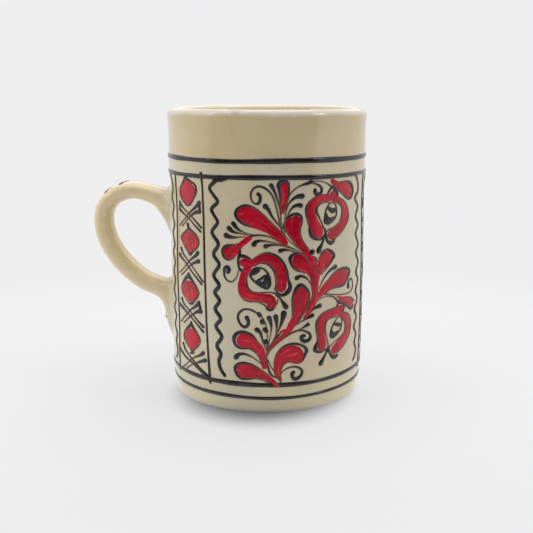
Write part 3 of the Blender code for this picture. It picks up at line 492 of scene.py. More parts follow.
    [(1.7, 87.4, 2.2), (0, 87.3, 1.8), (-1.5, 86.7, 1.2), (-2.8, 85.6, 0.8), (-4, 83.8, 0.6),
     (-4.7, 81.5, 0.5), (-5.2, 79, 0.4)],
    [(1.2, 83.8, 1.9), (-0.3, 83.9, 1.5), (-1.8, 83.3, 1), (-3, 82, 0.7), (-3.9, 80.3, 0.5),
     (-4.9, 78, 0.4), (-5.7, 75.8, 0.4), (-5, 73.6, 0.4)],
]
# Slip that ran together where a line meets a ring, from a panel's centre
PANEL_JOINS = [[(14.6, 93.5, 1.6), (17.4, 93.6, 1.9), (20, 94.1, 1.3)], [(8.4, 95.4, 1.5),
                                                                         (8.6, 94.4, 1.3)],
               [(10.3, 12.6, 1.7), (11.1, 11.6, 1.5)], [(-10.1, 12.6, 1.2), (-9.9, 13.4, 1.0)]]


# ---------------------------------------------------------------- curves and the wall
def smooth_curve(x, xs, ys):
    """Values at x on the smooth curve through the points (xs, ys)."""
    xs, ys = np.asarray(xs, float), np.asarray(ys, float)
    slope = np.gradient(ys, xs)
    i = np.clip(np.searchsorted(xs, x) - 1, 0, len(xs) - 2)
    span = xs[i + 1] - xs[i]
    t = np.clip((x - xs[i]) / span, 0, 1)
    start = (2 * t**3 - 3 * t**2 + 1) * ys[i] + (t**3 - 2 * t**2 + t) * span * slope[i]
    end = (3 * t**2 - 2 * t**3) * ys[i + 1] + (t**3 - t**2) * span * slope[i + 1]
    return start + end


def smooth_step(low, high, x):
    t = np.clip((np.asarray(x, float) - low) / (high - low), 0, 1)
    return t * t * (3 - 2 * t)


def plain_radius(height):
    """Outside radius of the wall without its throwing lines."""
    heights, radii = zip(*WALL_OUTSIDE)
    return smooth_curve(np.clip(height, heights[0], heights[-1]), heights, radii)


def wall_radius(height, angle):
    """Outside radius of the wall, with the faint spiral left by throwing."""
    low, high = THROWING_FADES
    shown = smooth_step(*low, height) * (1 - smooth_step(*high, height))
    turns = 2 * math.pi * height / THROWING_PITCH
    return plain_radius(height) + THROWING_DEPTH * shown * np.sin(turns + angle)


def round_axis(radius, angle, height):
    """Points at a radius and height, at an angle from the -Y side towards +X."""
    return np.stack([radius * np.sin(angle), -radius * np.cos(angle), height + 0 * angle], axis=-1)


def on_wall(distance, height, lift):
    """Points of the wall's outside, and lift above it."""
    angle = distance / FLAT_RADIUS
    return round_axis(wall_radius(height, angle) + lift, angle, height)


def lengths_along(rows):
    steps = np.hypot(*np.diff(rows[:, :2], axis=0).T)
    return np.concatenate([[0], np.cumsum(steps)])


def directions(rows):
    """Unit vectors along the rows."""
    way = np.gradient(rows[:, :2], axis=0)
    return way / np.maximum(np.hypot(way[:, 0], way[:, 1]), 1e-6)[:, None]


def through(rows, step=LINE_STEP):
    """The rows resampled evenly on a smooth curve through them."""
    rows = np.asarray(rows, float)
    along = lengths_along(rows)
    count = max(4, round(along[-1] / step) + 1)
    even = np.linspace(0, along[-1], count)
    return np.stack([smooth_curve(even, along, column) for column in rows.T], axis=-1)


def rounded_ends(line):
    """The line with a half-round cap added at each end."""
    caps = np.radians([80, 60, 38, 18])
    ahead, behind = line[0, :2] - line[1, :2], line[-1, :2] - line[-2, :2]
    ends = []
    for row, way in ((line[0], ahead), (line[-1], behind)):
        way = way / max(np.hypot(*way), 1e-6)
        reach = row[2] / 2 * np.sin(caps)
        ends.append(np.column_stack([row[:2] + way * reach[:, None], row[2] * np.cos(caps)]))
    return np.concatenate([ends[0], line, ends[1][::-1]])


# ---------------------------------------------------------------- meshes
def add_mesh(name, points, faces, material, normals=None, stroke=None):
    mesh = bpy.data.meshes.new(name)
    mesh.from_pydata((np.asarray(points) * MM).tolist(), [], faces)
    mesh.shade_smooth()
    if normals is not None:
        mesh.normals_split_custom_set_from_vertices(normals.tolist())
    if stroke is not None:
        attribute = mesh.attributes.new("stroke", "FLOAT_VECTOR", "POINT")
        attribute.data.foreach_set("vector", np.asarray(stroke, np.float32).ravel())
    mesh.materials.append(material)
    piece = bpy.data.objects.new(name, mesh)
    bpy.context.scene.collection.objects.link(piece)
    return piece


def grid_faces(rows, columns, first=0, closed=False, flipped=False):
    """Quads of a grid of points stored row by row."""
    i, j = np.meshgrid(np.arange(rows - (not closed)), np.arange(columns - 1), indexing="ij")
    after = (i + 1) % rows
    corners = [i * columns + j, after * columns + j, after * columns + j + 1, i * columns + j + 1]
    if flipped:
        corners.reverse()
    return (first + np.stack(corners, axis=-1).reshape(-1, 4)).tolist()


class Drawing:
    """Slip laid on a surface, gathered into one mesh with its stroke attribute.

    stroke = (millimetres along the stroke, millimetres across it, how heavy the slip is there)
    """

    LINE_ACROSS = np.array([-1, -0.86, -0.5, 0, 0.5, 0.86, 1])
    BROAD_ACROSS = np.array([-1, -0.93, -0.75, -0.5, -0.25, 0, 0.25, 0.5, 0.75, 0.93, 1])
    EDGE = 0.99                # beyond this share of its half width, slip is sunk in the wall
    SUNK = 0.035
    THIN_TO_HEAVY = (0.35, 1.5)
    STROKE_APART = 37.0        # between one stroke's streaks and the next one's
    COPY_APART = 11.0

    def __init__(self, surface, wander=0.0, seed=0.0):
        self.surface, self.wander, self.seed = surface, wander, seed
        self.points, self.faces, self.stroke = [], [], []
        self.count = self.strokes = 0

    def drift(self, first, second):
        """A small smooth displacement, so that a figure drawn again isn't a copy."""
        a = np.sin(first * 0.13 + self.seed * 1.7 + 0.6 * np.sin(second * 0.07 + self.seed))
        b = np.sin(second * 0.11 + self.seed * 2.3 + 0.7 * np.sin(first * 0.09 - self.seed))
        return first + self.wander * b, second + self.wander * a

    def lay(self, first, second, height, across, load, closed=False):
        """Adds a grid of points at two surface coordinates, with its faces turned outwards."""
        rows, columns = first.shape
        first, second = self.drift(first, second)
        along = lengths_along(np.column_stack([first.mean(axis=1), second.mean(axis=1)]))
        area = np.sum(np.diff(first, axis=0)[:, :-1] * np.diff(second, axis=1)[:-1]
                      - np.diff(second, axis=0)[:, :-1] * np.diff(first, axis=1)[:-1])
        self.points.append(self.surface(first, second, height).reshape(-1, 3))
        self.faces += grid_faces(rows, columns, self.count, closed, flipped=area < 0)
        self.strokes += 1
        along = along[:, None] + self.STROKE_APART * self.strokes + self.COPY_APART * self.seed
        self.stroke.append(np.stack([along + 0 * across, across, load], axis=-1).reshape(-1, 3))
        self.count += rows * columns

    def line(self, rows, rise=DARK_HEIGHT, place=0.0):
        """A trailed line: domed across, round at its ends. place moves it along the surface."""
        line = rounded_ends(through(rows) + [0, 0, LINE_SPREAD])
        self.bead(line, directions(line), rise, place)

    def loop(self, rows):
        """A trailed line that runs right round and meets itself."""
        way = (np.roll(rows, -1, 0) - np.roll(rows, 1, 0))[:, :2]
        way[:, 0] = np.median(way[:, 0])
        way /= np.hypot(way[:, 0], way[:, 1])[:, None]
        self.bead(rows, way, DARK_HEIGHT, closed=True)

    def bead(self, line, way, rise, place=0.0, closed=False):
        q, width = self.LINE_ACROSS, line[:, 2:3]
        side = q * width / 2
        dome = np.sqrt(1 - q**2)
        height = rise * np.tanh(0.45 * width / rise) * dome - self.SUNK * (np.abs(q) > self.EDGE)
        load = smooth_step(*self.THIN_TO_HEAVY, width) * (0.35 + 0.65 * dome)
        first = line[:, :1] + place - side * way[:, 1:]
        self.lay(first, line[:, 1:2] + side * way[:, :1], height, side, load, closed)

    def broad(self, rows, lift=0.0, place=0.0):
        """A brushed or broadly trailed stroke: nearly flat."""
        line = rounded_ends(through(rows) + [0, 0, RED_BLEED])
        way = directions(line)
        side = self.BROAD_ACROSS * line[:, 2:3] / 2
        self.flat(line[:, :1] + place - side * way[:, 1:], line[:, 1:2] + side * way[:, :1], side, lift)

    def petal(self, left, right, lift=0.0, place=0.0):
        """A petal filled between its two edges, which meet at its base and tip."""
        edges = [np.asarray(edge, float) for edge in (left, right)]
        lengths = [lengths_along(edge) for edge in edges]
        even = np.linspace(0, 1, max(10, round(max(along[-1] for along in lengths) / LINE_STEP)))
        a, b = (np.stack([smooth_curve(even, along / along[-1], column) for column in edge.T])
                for edge, along in zip(edges, lengths))
        wide = np.hypot(*(b - a))
        grow = (b - a) * RED_BLEED * np.minimum(wide, 1.0) / np.maximum(wide, 0.05)
        a, b = a - grow, b + grow
        q = self.BROAD_ACROSS
        first, second = (a[:, :, None] * (1 - q) + b[:, :, None] * (1 + q)) / 2
        self.flat(first + place, second, q * wide[:, None] / 2, lift)

    def flat(self, first, second, side, lift):
        q = self.BROAD_ACROSS
        sunk = np.abs(q) > self.EDGE
        height = np.where(sunk, -self.SUNK, (lift + RED_HEIGHT) * (1 - q**4)) + 0 * side
        self.lay(first, second, height, side, 1 - 0.75 * q**4 + 0 * side)

    def piece(self, name, material, slot, *replaced):
        piece = add_mesh(name, np.concatenate(self.points), self.faces, material,
                         stroke=np.concatenate(self.stroke))
        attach(piece, "root")
        if replaced:
            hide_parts(*replaced)


# ---------------------------------------------------------------- the thrown body
def arc(centre, radii, start, end, step):
    """Points of an elliptical arc in the (radius, height) plane, angles in degrees."""
    count = max(3, round(math.radians(abs(end - start)) * max(radii) / step))
    turned = np.radians(np.linspace(start, end, count + 1))
    return np.column_stack([centre[0] + radii[0] * np.cos(turned), centre[1] + radii[1] * np.sin(turned)])


def outside_outline():
    """The underside with the foot's round, then the wall, as rows of radius and height."""
    lowest, highest = WALL_OUTSIDE[0][0], WALL_OUTSIDE[-1][0]
    under = np.linspace(0, BASE_RADIUS, round(BASE_RADIUS / (3 * BODY_STEP)))
    under = np.column_stack([under, FOOT_HOLLOW * (1 - (under / BASE_RADIUS) ** 4)])
    foot = arc((BASE_RADIUS, FOOT_ROUND), (FOOT_SPREAD, FOOT_ROUND), -90, -15, ROUND_STEP)
    wall = np.linspace(lowest, highest, round(HEIGHT / BODY_STEP))
    wall = np.column_stack([plain_radius(wall), wall])
    return np.concatenate([under, foot[1:]]), wall[1:]


def inside_outline():
    """The lip's round, then the inner wall, its corner and the floor."""
    highest = WALL_OUTSIDE[-1][0]
    half = LIP_THICKNESS / 2
    lip = arc((LIP_RADIUS - half, highest), (half, HEIGHT - highest), 6, 174, LIP_STEP)
    corner_radius = plain_radius(20) - WALL_THICKNESS - INNER_CORNER - INNER_NARROWING
    corner_height = FLOOR_THICKNESS + INNER_CORNER
    heights = np.linspace(highest - LIP_OVERLAP, corner_height + 4, round(90 / BODY_STEP))
    thinning = (WALL_THICKNESS - LIP_THICKNESS) * smooth_step(*THINNING_HEIGHTS, heights)
    inner = np.column_stack([plain_radius(heights) - WALL_THICKNESS + thinning, heights])
    corner = arc((corner_radius, corner_height), (INNER_CORNER, INNER_CORNER), 0, -90, BODY_STEP)
    floor = np.linspace(corner_radius, 0, round(corner_radius / (2 * BODY_STEP)))[1:]
    floor = np.column_stack([floor, FLOOR_THICKNESS + 0 * floor])
    return lip, np.concatenate([inner, corner, floor])


def throw_inside(radius, height, angle):
    """Adds the inside's throwing rings and the floor's spiral in place."""
    low, high = INNER_FADES
    shown = smooth_step(*low, height) * (1 - smooth_step(*high, height))
    turns = 2 * math.pi * height / INNER_PITCH
    radius += INNER_DEPTH * shown * (np.sin(turns - angle) + 0.4 * np.sin(2.3 * turns + angle))
    out, up = FLOOR_FADES
    shown = (1 - smooth_step(*up, height)) * smooth_step(*out, radius)
    height += FLOOR_DEPTH * shown * np.sin(2 * math.pi * radius / FLOOR_PITCH + angle)


def make_body(material):
    """Wire-cut underside, wall, rolled lip, inside and floor, turned as one skin."""
    under, wall = outside_outline()
    lip, inside = inside_outline()
    outline = np.concatenate([under, wall, lip, inside])
    angle = np.linspace(0, 2 * math.pi, BODY_AROUND, endpoint=False)
    radius, height = outline[:, :1] + 0 * angle, outline[:, 1:] + 0 * angle
    on_outside = slice(len(under), len(under) + len(wall))
    radius[on_outside] = wall_radius(height[on_outside], angle)
    first_inside = len(outline) - len(inside)
    throw_inside(radius[first_inside:], height[first_inside:], angle)
    height += LIP_RISE * smooth_step(*LIP_RISE_HEIGHTS, height) * np.cos(angle) ** 2
    points = round_axis(radius, angle, height).transpose(1, 0, 2).reshape(-1, 3)
    faces = grid_faces(BODY_AROUND, len(outline), closed=True)
    piece = add_mesh("mug_body.thrown", points, faces, material)
    join_on_axis(piece, [outline[0, 1], outline[-1, 1]])
    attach(piece, "root")
    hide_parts("mug_body")


def join_on_axis(piece, heights):
    """Joins the points that meet on the axis at each height."""
    shape = bmesh.new()
    shape.from_mesh(piece.data)
    for height in heights:
        pole = Vector((0, 0, height)) * MM
        near = [v for v in shape.verts if (v.co - pole).length < 1e-6]
        bmesh.ops.pointmerge(shape, verts=near, merge_co=pole)
    shape.to_mesh(piece.data)
    shape.free()
    piece.data.shade_smooth()


# ---------------------------------------------------------------- the pulled handle
def handle_line():
    """The handle's centre line, finely sampled, with its section and direction at each place."""
    stations = np.asarray(HANDLE_STATIONS) * [-1, 1, 1, 1]
    line = through(stations, HANDLE_STEP)
    line[:, 2:] = np.maximum(line[:, 2:], 0.5) / 2
    return line, directions(line), np.gradient(line[:, 2:], lengths_along(line), axis=0)


LINE, LINE_WAY, LINE_GROWTH = handle_line()
LINE_LENGTHS = lengths_along(LINE)


def section_at(x, z):
    """In-plane distance from the centre line, and the half thickness and width there."""
    gap_x, gap_z = x[:, None] - LINE[:, 0], z[:, None] - LINE[:, 1]
    i = np.argmin(gap_x**2 + gap_z**2, axis=1)
    rows = np.arange(len(x))
    gap = np.stack([gap_x[rows, i], gap_z[rows, i]], axis=-1)
    along = np.sum(gap * LINE_WAY[i], axis=-1)
    at_end = (i == 0) | (i == len(LINE) - 1)
    reach = np.hypot(gap[:, 0], gap[:, 1])
    off = np.where(at_end, reach, np.sqrt(np.maximum(reach**2 - along**2, 0)))
    halves = LINE[i, 2:] + LINE_GROWTH[i] * np.where(at_end, 0, along)[:, None]
    return off, halves[:, 0], halves[:, 1]


def handle_distance(section, y):
    """Distance outside the handle, from what section_at gives."""
    off, thick, wide = section
    q = np.hypot(off, y) + 1e-6
    g = ((off / thick) ** HANDLE_POWER + (np.abs(y) / wide) ** HANDLE_POWER) ** (1 / HANDLE_POWER)
    return q * (1 - 1 / np.maximum(g, 1e-3))


def wall_distance(x, y, z):
    return np.hypot(x, y) - wall_radius(z, np.arctan2(x + 0 * y, -y))


def fillet_reach(y, height):
    middle = smooth_curve(height, *zip(*HANDLE_BLEND))
    return middle + (SIDE_BLEND - middle) * smooth_step(*SIDE_BLEND_WIDTHS, np.abs(y))


def blended(handle, wall, y, height):
    """The two distances joined with a fillet, widest under the upper root."""
    k = fillet_reach(y, height)
    near = np.maximum(k - np.abs(handle - wall), 0) / k
    return np.minimum(handle, wall) - near**2 * k / 4


def handle_skin(points):
    """Distance outside the joined skin, and outside the handle alone."""
    x, y, z = points.T
    handle = handle_distance(section_at(x, z), y)
    return blended(handle, wall_distance(x, y, z), y, z), handle


def skin_slope(points, reach=0.06):
    steps = np.eye(3) * reach
    slope = np.stack([handle_skin(points + s)[0] - handle_skin(points - s)[0] for s in steps], axis=-1)
    return slope / (2 * reach)


def skin_normal(points):
    slope = skin_slope(points)
    return slope / np.linalg.norm(slope, axis=1)[:, None]


def onto_skin(points, times=3):
    for _ in range(times):
        slope = skin_slope(points)
        short = handle_skin(points)[0] / np.maximum(np.sum(slope**2, axis=-1), 0.05)
        points = points - slope * short[:, None]
    return points


def surface_net(values):
    """Points, in cells, and quads of the surface where a grid of values changes sign."""
    cells = np.array(values.shape) - 1
    total, count = np.zeros((*cells, 3)), np.zeros(cells)
    crossings = []
    for axis in range(3):
        turned = np.moveaxis(values, axis, 0)
        low, high = turned[:-1], turned[1:]
        cross = (low < 0) != (high < 0)
        share = np.where(cross, low / np.where(cross, low - high, 1), 0)
        crossings.append((axis, cross, low < 0))
        others = [a for a in range(3) if a != axis]
        turned_total, turned_count = np.moveaxis(total, axis, 0), np.moveaxis(count, axis, 0)
        n1, n2 = turned.shape[1:]
        for d1, d2 in ((0, 0), (0, 1), (1, 0), (1, 1)):
            window = (slice(None), slice(d1, n1 - 1 + d1), slice(d2, n2 - 1 + d2))
            here = cross[window]
            turned_total[..., axis] += share[window] * here
            turned_total[..., others[0]] += d1 * here
            turned_total[..., others[1]] += d2 * here
            turned_count += here
    used = count > 0
    number = np.full(cells, -1)
    number[used] = np.arange(used.sum())
    points = np.argwhere(used) + total[used] / count[used][:, None]
    quads = []
    for axis, cross, low_inside in crossings:
        turned = np.moveaxis(number, axis, 0)
        inner = cross[:, 1:-1, 1:-1]
        corners = [turned[:, :-1, :-1], turned[:, 1:, :-1], turned[:, 1:, 1:], turned[:, :-1, 1:]]
        found = np.stack([c[inner] for c in corners], axis=-1)
        turn = low_inside[:, 1:-1, 1:-1][inner] != (axis == 1)
        found[~turn] = found[~turn][:, ::-1]
        quads.append(found)
    return points, np.concatenate(quads)


def handle_net():
    """Points and quads of the joined skin of handle and wall, on a grid of cells."""
    low, high = np.array(HANDLE_GRID)
    sizes = np.ceil((high - low) / HANDLE_CELL).astype(int) + 1
    xs, ys, zs = (low[a] + HANDLE_CELL * np.arange(sizes[a]) for a in range(3))
    plane_x, plane_z = np.meshgrid(xs, zs, indexing="ij")
    section = section_at(plane_x.ravel(), plane_z.ravel())
    section = [part.reshape(plane_x.shape)[:, None, :] for part in section]
    x, y, z = xs[:, None, None], ys[None, :, None], zs[None, None, :]
    points, quads = surface_net(blended(handle_distance(section, y), wall_distance(x, y, z), y, z))
    return low + points * HANDLE_CELL, quads


def evened(points, quads):
    """The points spread evenly over the skin, each drawn towards its neighbours' middle."""
    edges = np.concatenate([quads[:, [a, (a + 1) % 4]] for a in range(4)])
    edges = np.concatenate([edges, edges[:, ::-1]])
    degree = np.bincount(edges[:, 0], minlength=len(points))[:, None]
    for _ in range(SMOOTHING_ROUNDS):
        total = np.zeros_like(points)
        np.add.at(total, edges[:, 0], points[edges[:, 1]])
        mixed = points * (1 - SMOOTHING_SHARE) + total / degree * SMOOTHING_SHARE
        points = onto_skin(mixed, times=1)
    return onto_skin(points)


def make_handle(material):
    """The handle's skin, from inside its fillet on the wall, as one piece."""
    points, quads = handle_net()
    points = evened(points, quads)
    normals = skin_normal(points)
    beyond = handle_skin(points)[1]
    fillet = fillet_reach(points[:, 1], points[:, 2])
    kept = beyond < fillet + SKIN_MARGIN
    kept &= np.hypot(points[:, 0], points[:, 1]) > SKIN_INNER_RADIUS
    quads = quads[np.all(kept[quads], axis=1)]
    points = points - normals * (SKIN_SINK * smooth_step(*SINK_FADE, beyond / fillet))[:, None]
    used = np.unique(quads)
    number = np.full(len(points), -1)
    number[used] = np.arange(len(used))
    faces = number[quads].tolist()
    piece = add_mesh("handle.pulled", points[used], faces, material, normals[used])
    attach(piece, "root")
    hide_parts("handle", "luting_slip_upper", "luting_slip_lower")


def on_spine(along, y, lift):
    """Points on the outside of the handle, at a length along its centre line and across it."""
    flat = np.clip(along, 0, LINE_LENGTHS[-1]).ravel()
    x, z, thick, wide = (np.interp(flat, LINE_LENGTHS, column) for column in LINE.T)
    way_x, way_z = (np.interp(flat, LINE_LENGTHS, column) for column in LINE_WAY.T)
    across = y.ravel() + 0 * flat
    bulge = (1 - np.minimum(np.abs(across) / wide, 0.97) ** HANDLE_POWER) ** (1 / HANDLE_POWER) * thick
    points = onto_skin(np.stack([x + way_z * bulge, across, z - way_x * bulge], axis=-1))
    lifted = points + skin_normal(points) * (lift + 0 * along).ravel()[:, None]
    return lifted.reshape(*along.shape, 3)


# ---------------------------------------------------------------- finishes
class Finish:
    """A material's node tree, with short names for the few kinds of node used here."""

    IOR = 1.5
    COAT_ROUGHNESS = 0.04

    def __init__(self, name):
        self.material = bpy.data.materials.new(name)
        self.material.use_nodes = True
        self.tree = self.material.node_tree
        self.tree.nodes.clear()
        self.place = self.add("ShaderNodeTexCoord").outputs["Object"]

    def add(self, kind, inputs=(), **settings):
        node = self.tree.nodes.new(kind)
        for key, value in settings.items():
            setattr(node, key, value)
        for key, value in dict(inputs).items():
            if isinstance(value, bpy.types.NodeSocket):
                self.tree.links.new(value, node.inputs[key])
            else:
                node.inputs[key].default_value = value
        return node

    def math(self, operation, a, b=0.0, c=0.0):
        return self.add("ShaderNodeMath", {0: a, 1: b, 2: c}, operation=operation).outputs[0]

    def times(self, *values):
        product = values[0]
        for value in values[1:]:
            product = self.math("MULTIPLY", product, value)
        return product

    def vector(self, operation, a, b=(0.0, 0.0, 0.0)):
        return self.add("ShaderNodeVectorMath", {0: a, 1: b}, operation=operation).outputs[0]

    def length(self, vector):
        return self.add("ShaderNodeVectorMath", {0: vector}, operation="LENGTH").outputs["Value"]

    def stretched(self, scale, place=None):
        return self.vector("MULTIPLY", place or self.place, scale)

    def noise(self, place, scale, detail=3.0, roughness=0.55, distortion=0.0):
        inputs = {"Vector": place, "Scale": scale, "Detail": detail, "Roughness": roughness,
                  "Distortion": distortion}
        return self.add("ShaderNodeTexNoise", inputs).outputs["Fac"]

    def step(self, value, low, high, to_low=0.0, to_high=1.0):
        inputs = {"Value": value, "From Min": low, "From Max": high, "To Min": to_low, "To Max": to_high}
        return self.add("ShaderNodeMapRange", inputs, interpolation_type="SMOOTHSTEP").outputs["Result"]

    def band(self, value, edges, to_low=0.0, to_high=1.0):
        """step() between two edges in millimetres."""
        return self.step(value, edges[0] * MM, edges[1] * MM, to_low, to_high)

    def mix(self, share, a, b):
        return self.add("ShaderNodeMix", {0: share, 6: a, 7: b}, data_type="RGBA").outputs[2]

    def split(self, vector):
        return self.add("ShaderNodeSeparateXYZ", {0: vector}).outputs

    def bump(self, height, distance, strength, normal=None):
        inputs = {"Height": height, "Distance": distance, "Strength": strength}
        if normal is not None:
            inputs["Normal"] = normal
        return self.add("ShaderNodeBump", inputs).outputs[0]

    def finish(self, tone, roughness, normal, coat=0.0, specular=0.5):
        inputs = {"Base Color": tone, "Roughness": roughness, "Normal": normal, "IOR": self.IOR,
                  "Coat Weight": coat, "Coat Roughness": self.COAT_ROUGHNESS,
                  "Specular IOR Level": specular}
        shader = self.add("ShaderNodeBsdfPrincipled", inputs)
        self.add("ShaderNodeOutputMaterial", {"Surface": shader.outputs[0]})
        return self.material


def colour(red, green, blue):
    return (red, green, blue, 1.0)


CREAM_LIGHT = colour(0.620, 0.508, 0.315)
CREAM_DEEP = colour(0.570, 0.455, 0.260)
CREAM_POOLED = colour(0.660, 0.575, 0.350)
FIELD_LIGHT = colour(0.610, 0.565, 0.420)
FIELD_DEEP = colour(0.550, 0.500, 0.360)
# Lighter cream for the handle: its glaze, lifted with painted light.
CREAM_HANDLE_AND_LIGHT = colour(0.800, 0.655, 0.420)
# Lighter, cooler cream on the foot: the foot's tone, with painted light standing in for light from the
# floor.
CREAM_FOOT_AND_LIGHT = colour(0.700, 0.635, 0.445)
# A pale band at the foot's lowest edge: partly pale bare clay, partly a painted highlight.
FOOT_EDGE_HIGHLIGHT = colour(0.720, 0.690, 0.610)
# The lip's top: glaze breaking thin there, and a painted highlight.
CREAM_THIN_HIGHLIGHT = colour(0.765, 0.708, 0.630)
# Warmer, lighter cream inside and on the lip's inner round: the glaze's warm tone, with painted light over
# the inside's shade.
CREAM_INSIDE_AND_LIGHT = colour(0.790, 0.685, 0.535)
# Yellow for the loop's inner side facing the mug: pooled glaze, and painted light over its shade.
LOOP_POOL_AND_LIGHT = colour(0.860, 0.720, 0.400)
CLAY_UNDER_GLAZE = colour(0.520, 0.360, 0.240)
IRON_SPECK = colour(0.240, 0.150, 0.075)
CLAY_PALE = colour(0.640, 0.560, 0.480)
CLAY_DARK = colour(0.540, 0.450, 0.370)
SLIP_BLACK = colour(0.0150, 0.0090, 0.0080)
SLIP_BLUE = colour(0.024, 0.025, 0.035)
SLIP_BROWN = colour(0.150, 0.068, 0.030)
RED_DEEP = colour(0.355, 0.001, 0.014)
RED_BRIGHT = colour(0.500, 0.002, 0.024)
RED_ORANGE = colour(0.700, 0.055, 0.045)

# Where the glaze, and the light painted on it, change, as the two edges of each change. Heights:
FIELD_TOP = (99.5, 101.5)
FIELD_FOOT = (4.5, 7.5)
INSIDE_FOOT = (4.0, 8.0)
ROUNDING_FOOT = (112.0, 115.0)
POOL_TOP = (14.0, 30.0)
POOL_WANDER = 0.012        # metres
LIP_THIN_HIGHLIGHT = (118.6, 120.6)
LIP_THIN_HIGHLIGHT_WANDER = 0.003    # metres
BARE_TOP = (1.1, 1.7)
BARE_WANDER = 0.0007       # metres
FOOT_HIGHLIGHT_LOW = (0.1, 0.4)
FOOT_HIGHLIGHT_TOP = (0.9, 1.4)
# Distances from the axis:
FIELD_INNER = (38.4, 38.8)
FIELD_OUTER = (42.0, 44.0)
HANDLE_INNER = (41.5, 48.0)
LOOP_INNER = (46.0, 50.0)
INSIDE_OUTER = (37.8, 38.4)
ROUNDING_OUTER = (39.4, 40.2)
LIP_THIN_HIGHLIGHT_INNER = (39.6, 40.8)
WIRE_CENTRE = (0.05, 0.03, 0.0)  # of the wire-cut arcs, metres


def zoned_cream(look, clouds, height, reach):
    """The glaze's colour by zone: lip band, ornamented field, handle, inside and foot, with painted light
    lifting the handle, the loop's inner side, the inside and the foot.
    """
    mottle = look.step(clouds, 0.32, 0.68)
    band = look.mix(mottle, CREAM_DEEP, CREAM_LIGHT)
    field = look.mix(mottle, FIELD_DEEP, FIELD_LIGHT)
    in_field = look.times(look.band(height, FIELD_TOP, 1.0, 0.0), look.band(height, FIELD_FOOT),
                          look.band(reach, FIELD_INNER), look.band(reach, FIELD_OUTER, 1.0, 0.0))
    cool = look.step(look.noise(look.place, 24.0, detail=2.0), 0.40, 0.62, 1.0, 0.45)
    tone = look.mix(look.times(in_field, cool), band, field)
    # The handle turns a lighter cream: partly its glaze, partly painted light.
    tone = look.mix(look.band(reach, HANDLE_INNER, 0.0, 0.75), tone, CREAM_HANDLE_AND_LIGHT)
    # The loop's inner side, which faces the mug, turns yellow and lighter: pooled glaze and painted light
    # over its shade.
    facing = look.split(look.add("ShaderNodeTexCoord").outputs["Normal"])[0]
    loop = look.times(look.band(reach, LOOP_INNER), look.step(facing, 0.0, 0.6, 0.0, 0.7))
    tone = look.mix(loop, tone, LOOP_POOL_AND_LIGHT)
    # Inside and on the lip's inner round the cream is warmer and lighter: warm glaze, with painted light
    # over the inside's shade.
    inside = look.times(look.band(reach, INSIDE_OUTER, 0.7, 0.0), look.band(height, INSIDE_FOOT))
    rounding = look.times(look.band(reach, ROUNDING_OUTER, 0.9, 0.0), look.band(height, ROUNDING_FOOT))
    tone = look.mix(look.math("MAXIMUM", inside, rounding), tone, CREAM_INSIDE_AND_LIGHT)
    # The foot's lighter cream carries painted light from the floor below.
    return look.mix(look.band(height, FIELD_FOOT, 0.8, 0.0), tone, CREAM_FOOT_AND_LIGHT)


def speckled(look, tone):
    """Iron specks and rare smears of clay showing through."""
    cells = look.add("ShaderNodeTexVoronoi", {"Vector": look.place, "Scale": 260.0, "Randomness": 1.0})
    chosen = look.step(look.split(cells.outputs["Color"])[0], 0.86, 0.9)
    dot = look.step(cells.outputs["Distance"], 0.05, 0.13, 1.0, 0.0)
    tone = look.mix(look.times(dot, chosen, 0.5), tone, IRON_SPECK)
    flecks = look.add("ShaderNodeTexVoronoi", {"Vector": look.stretched((1.0, 1.0, 1.7)), "Scale": 75.0})
    rare = look.step(look.split(flecks.outputs["Color"])[1], 0.955, 0.97)
    smear = look.step(flecks.outputs["Distance"], 0.08, 0.2, 1.0, 0.0)
    return look.mix(look.times(smear, rare, 0.35), tone, CLAY_UNDER_GLAZE)


def wire_marks(look):
    """The marks of the cutting wire: curved grooves, broken by a stretched grain."""
    grain = look.noise(look.stretched((900.0, 60.0, 60.0)), 1.0, roughness=0.6, distortion=0.8)
    inputs = {"Vector": look.vector("ADD", look.place, WIRE_CENTRE), "Scale": 95.0, "Distortion": 2.5,
              "Detail": 2.0}
    arcs = look.add("ShaderNodeTexWave", inputs, wave_type="RINGS", rings_direction="Z").outputs["Fac"]
    return look.math("MULTIPLY_ADD", arcs, 0.5, look.times(grain, 0.5))


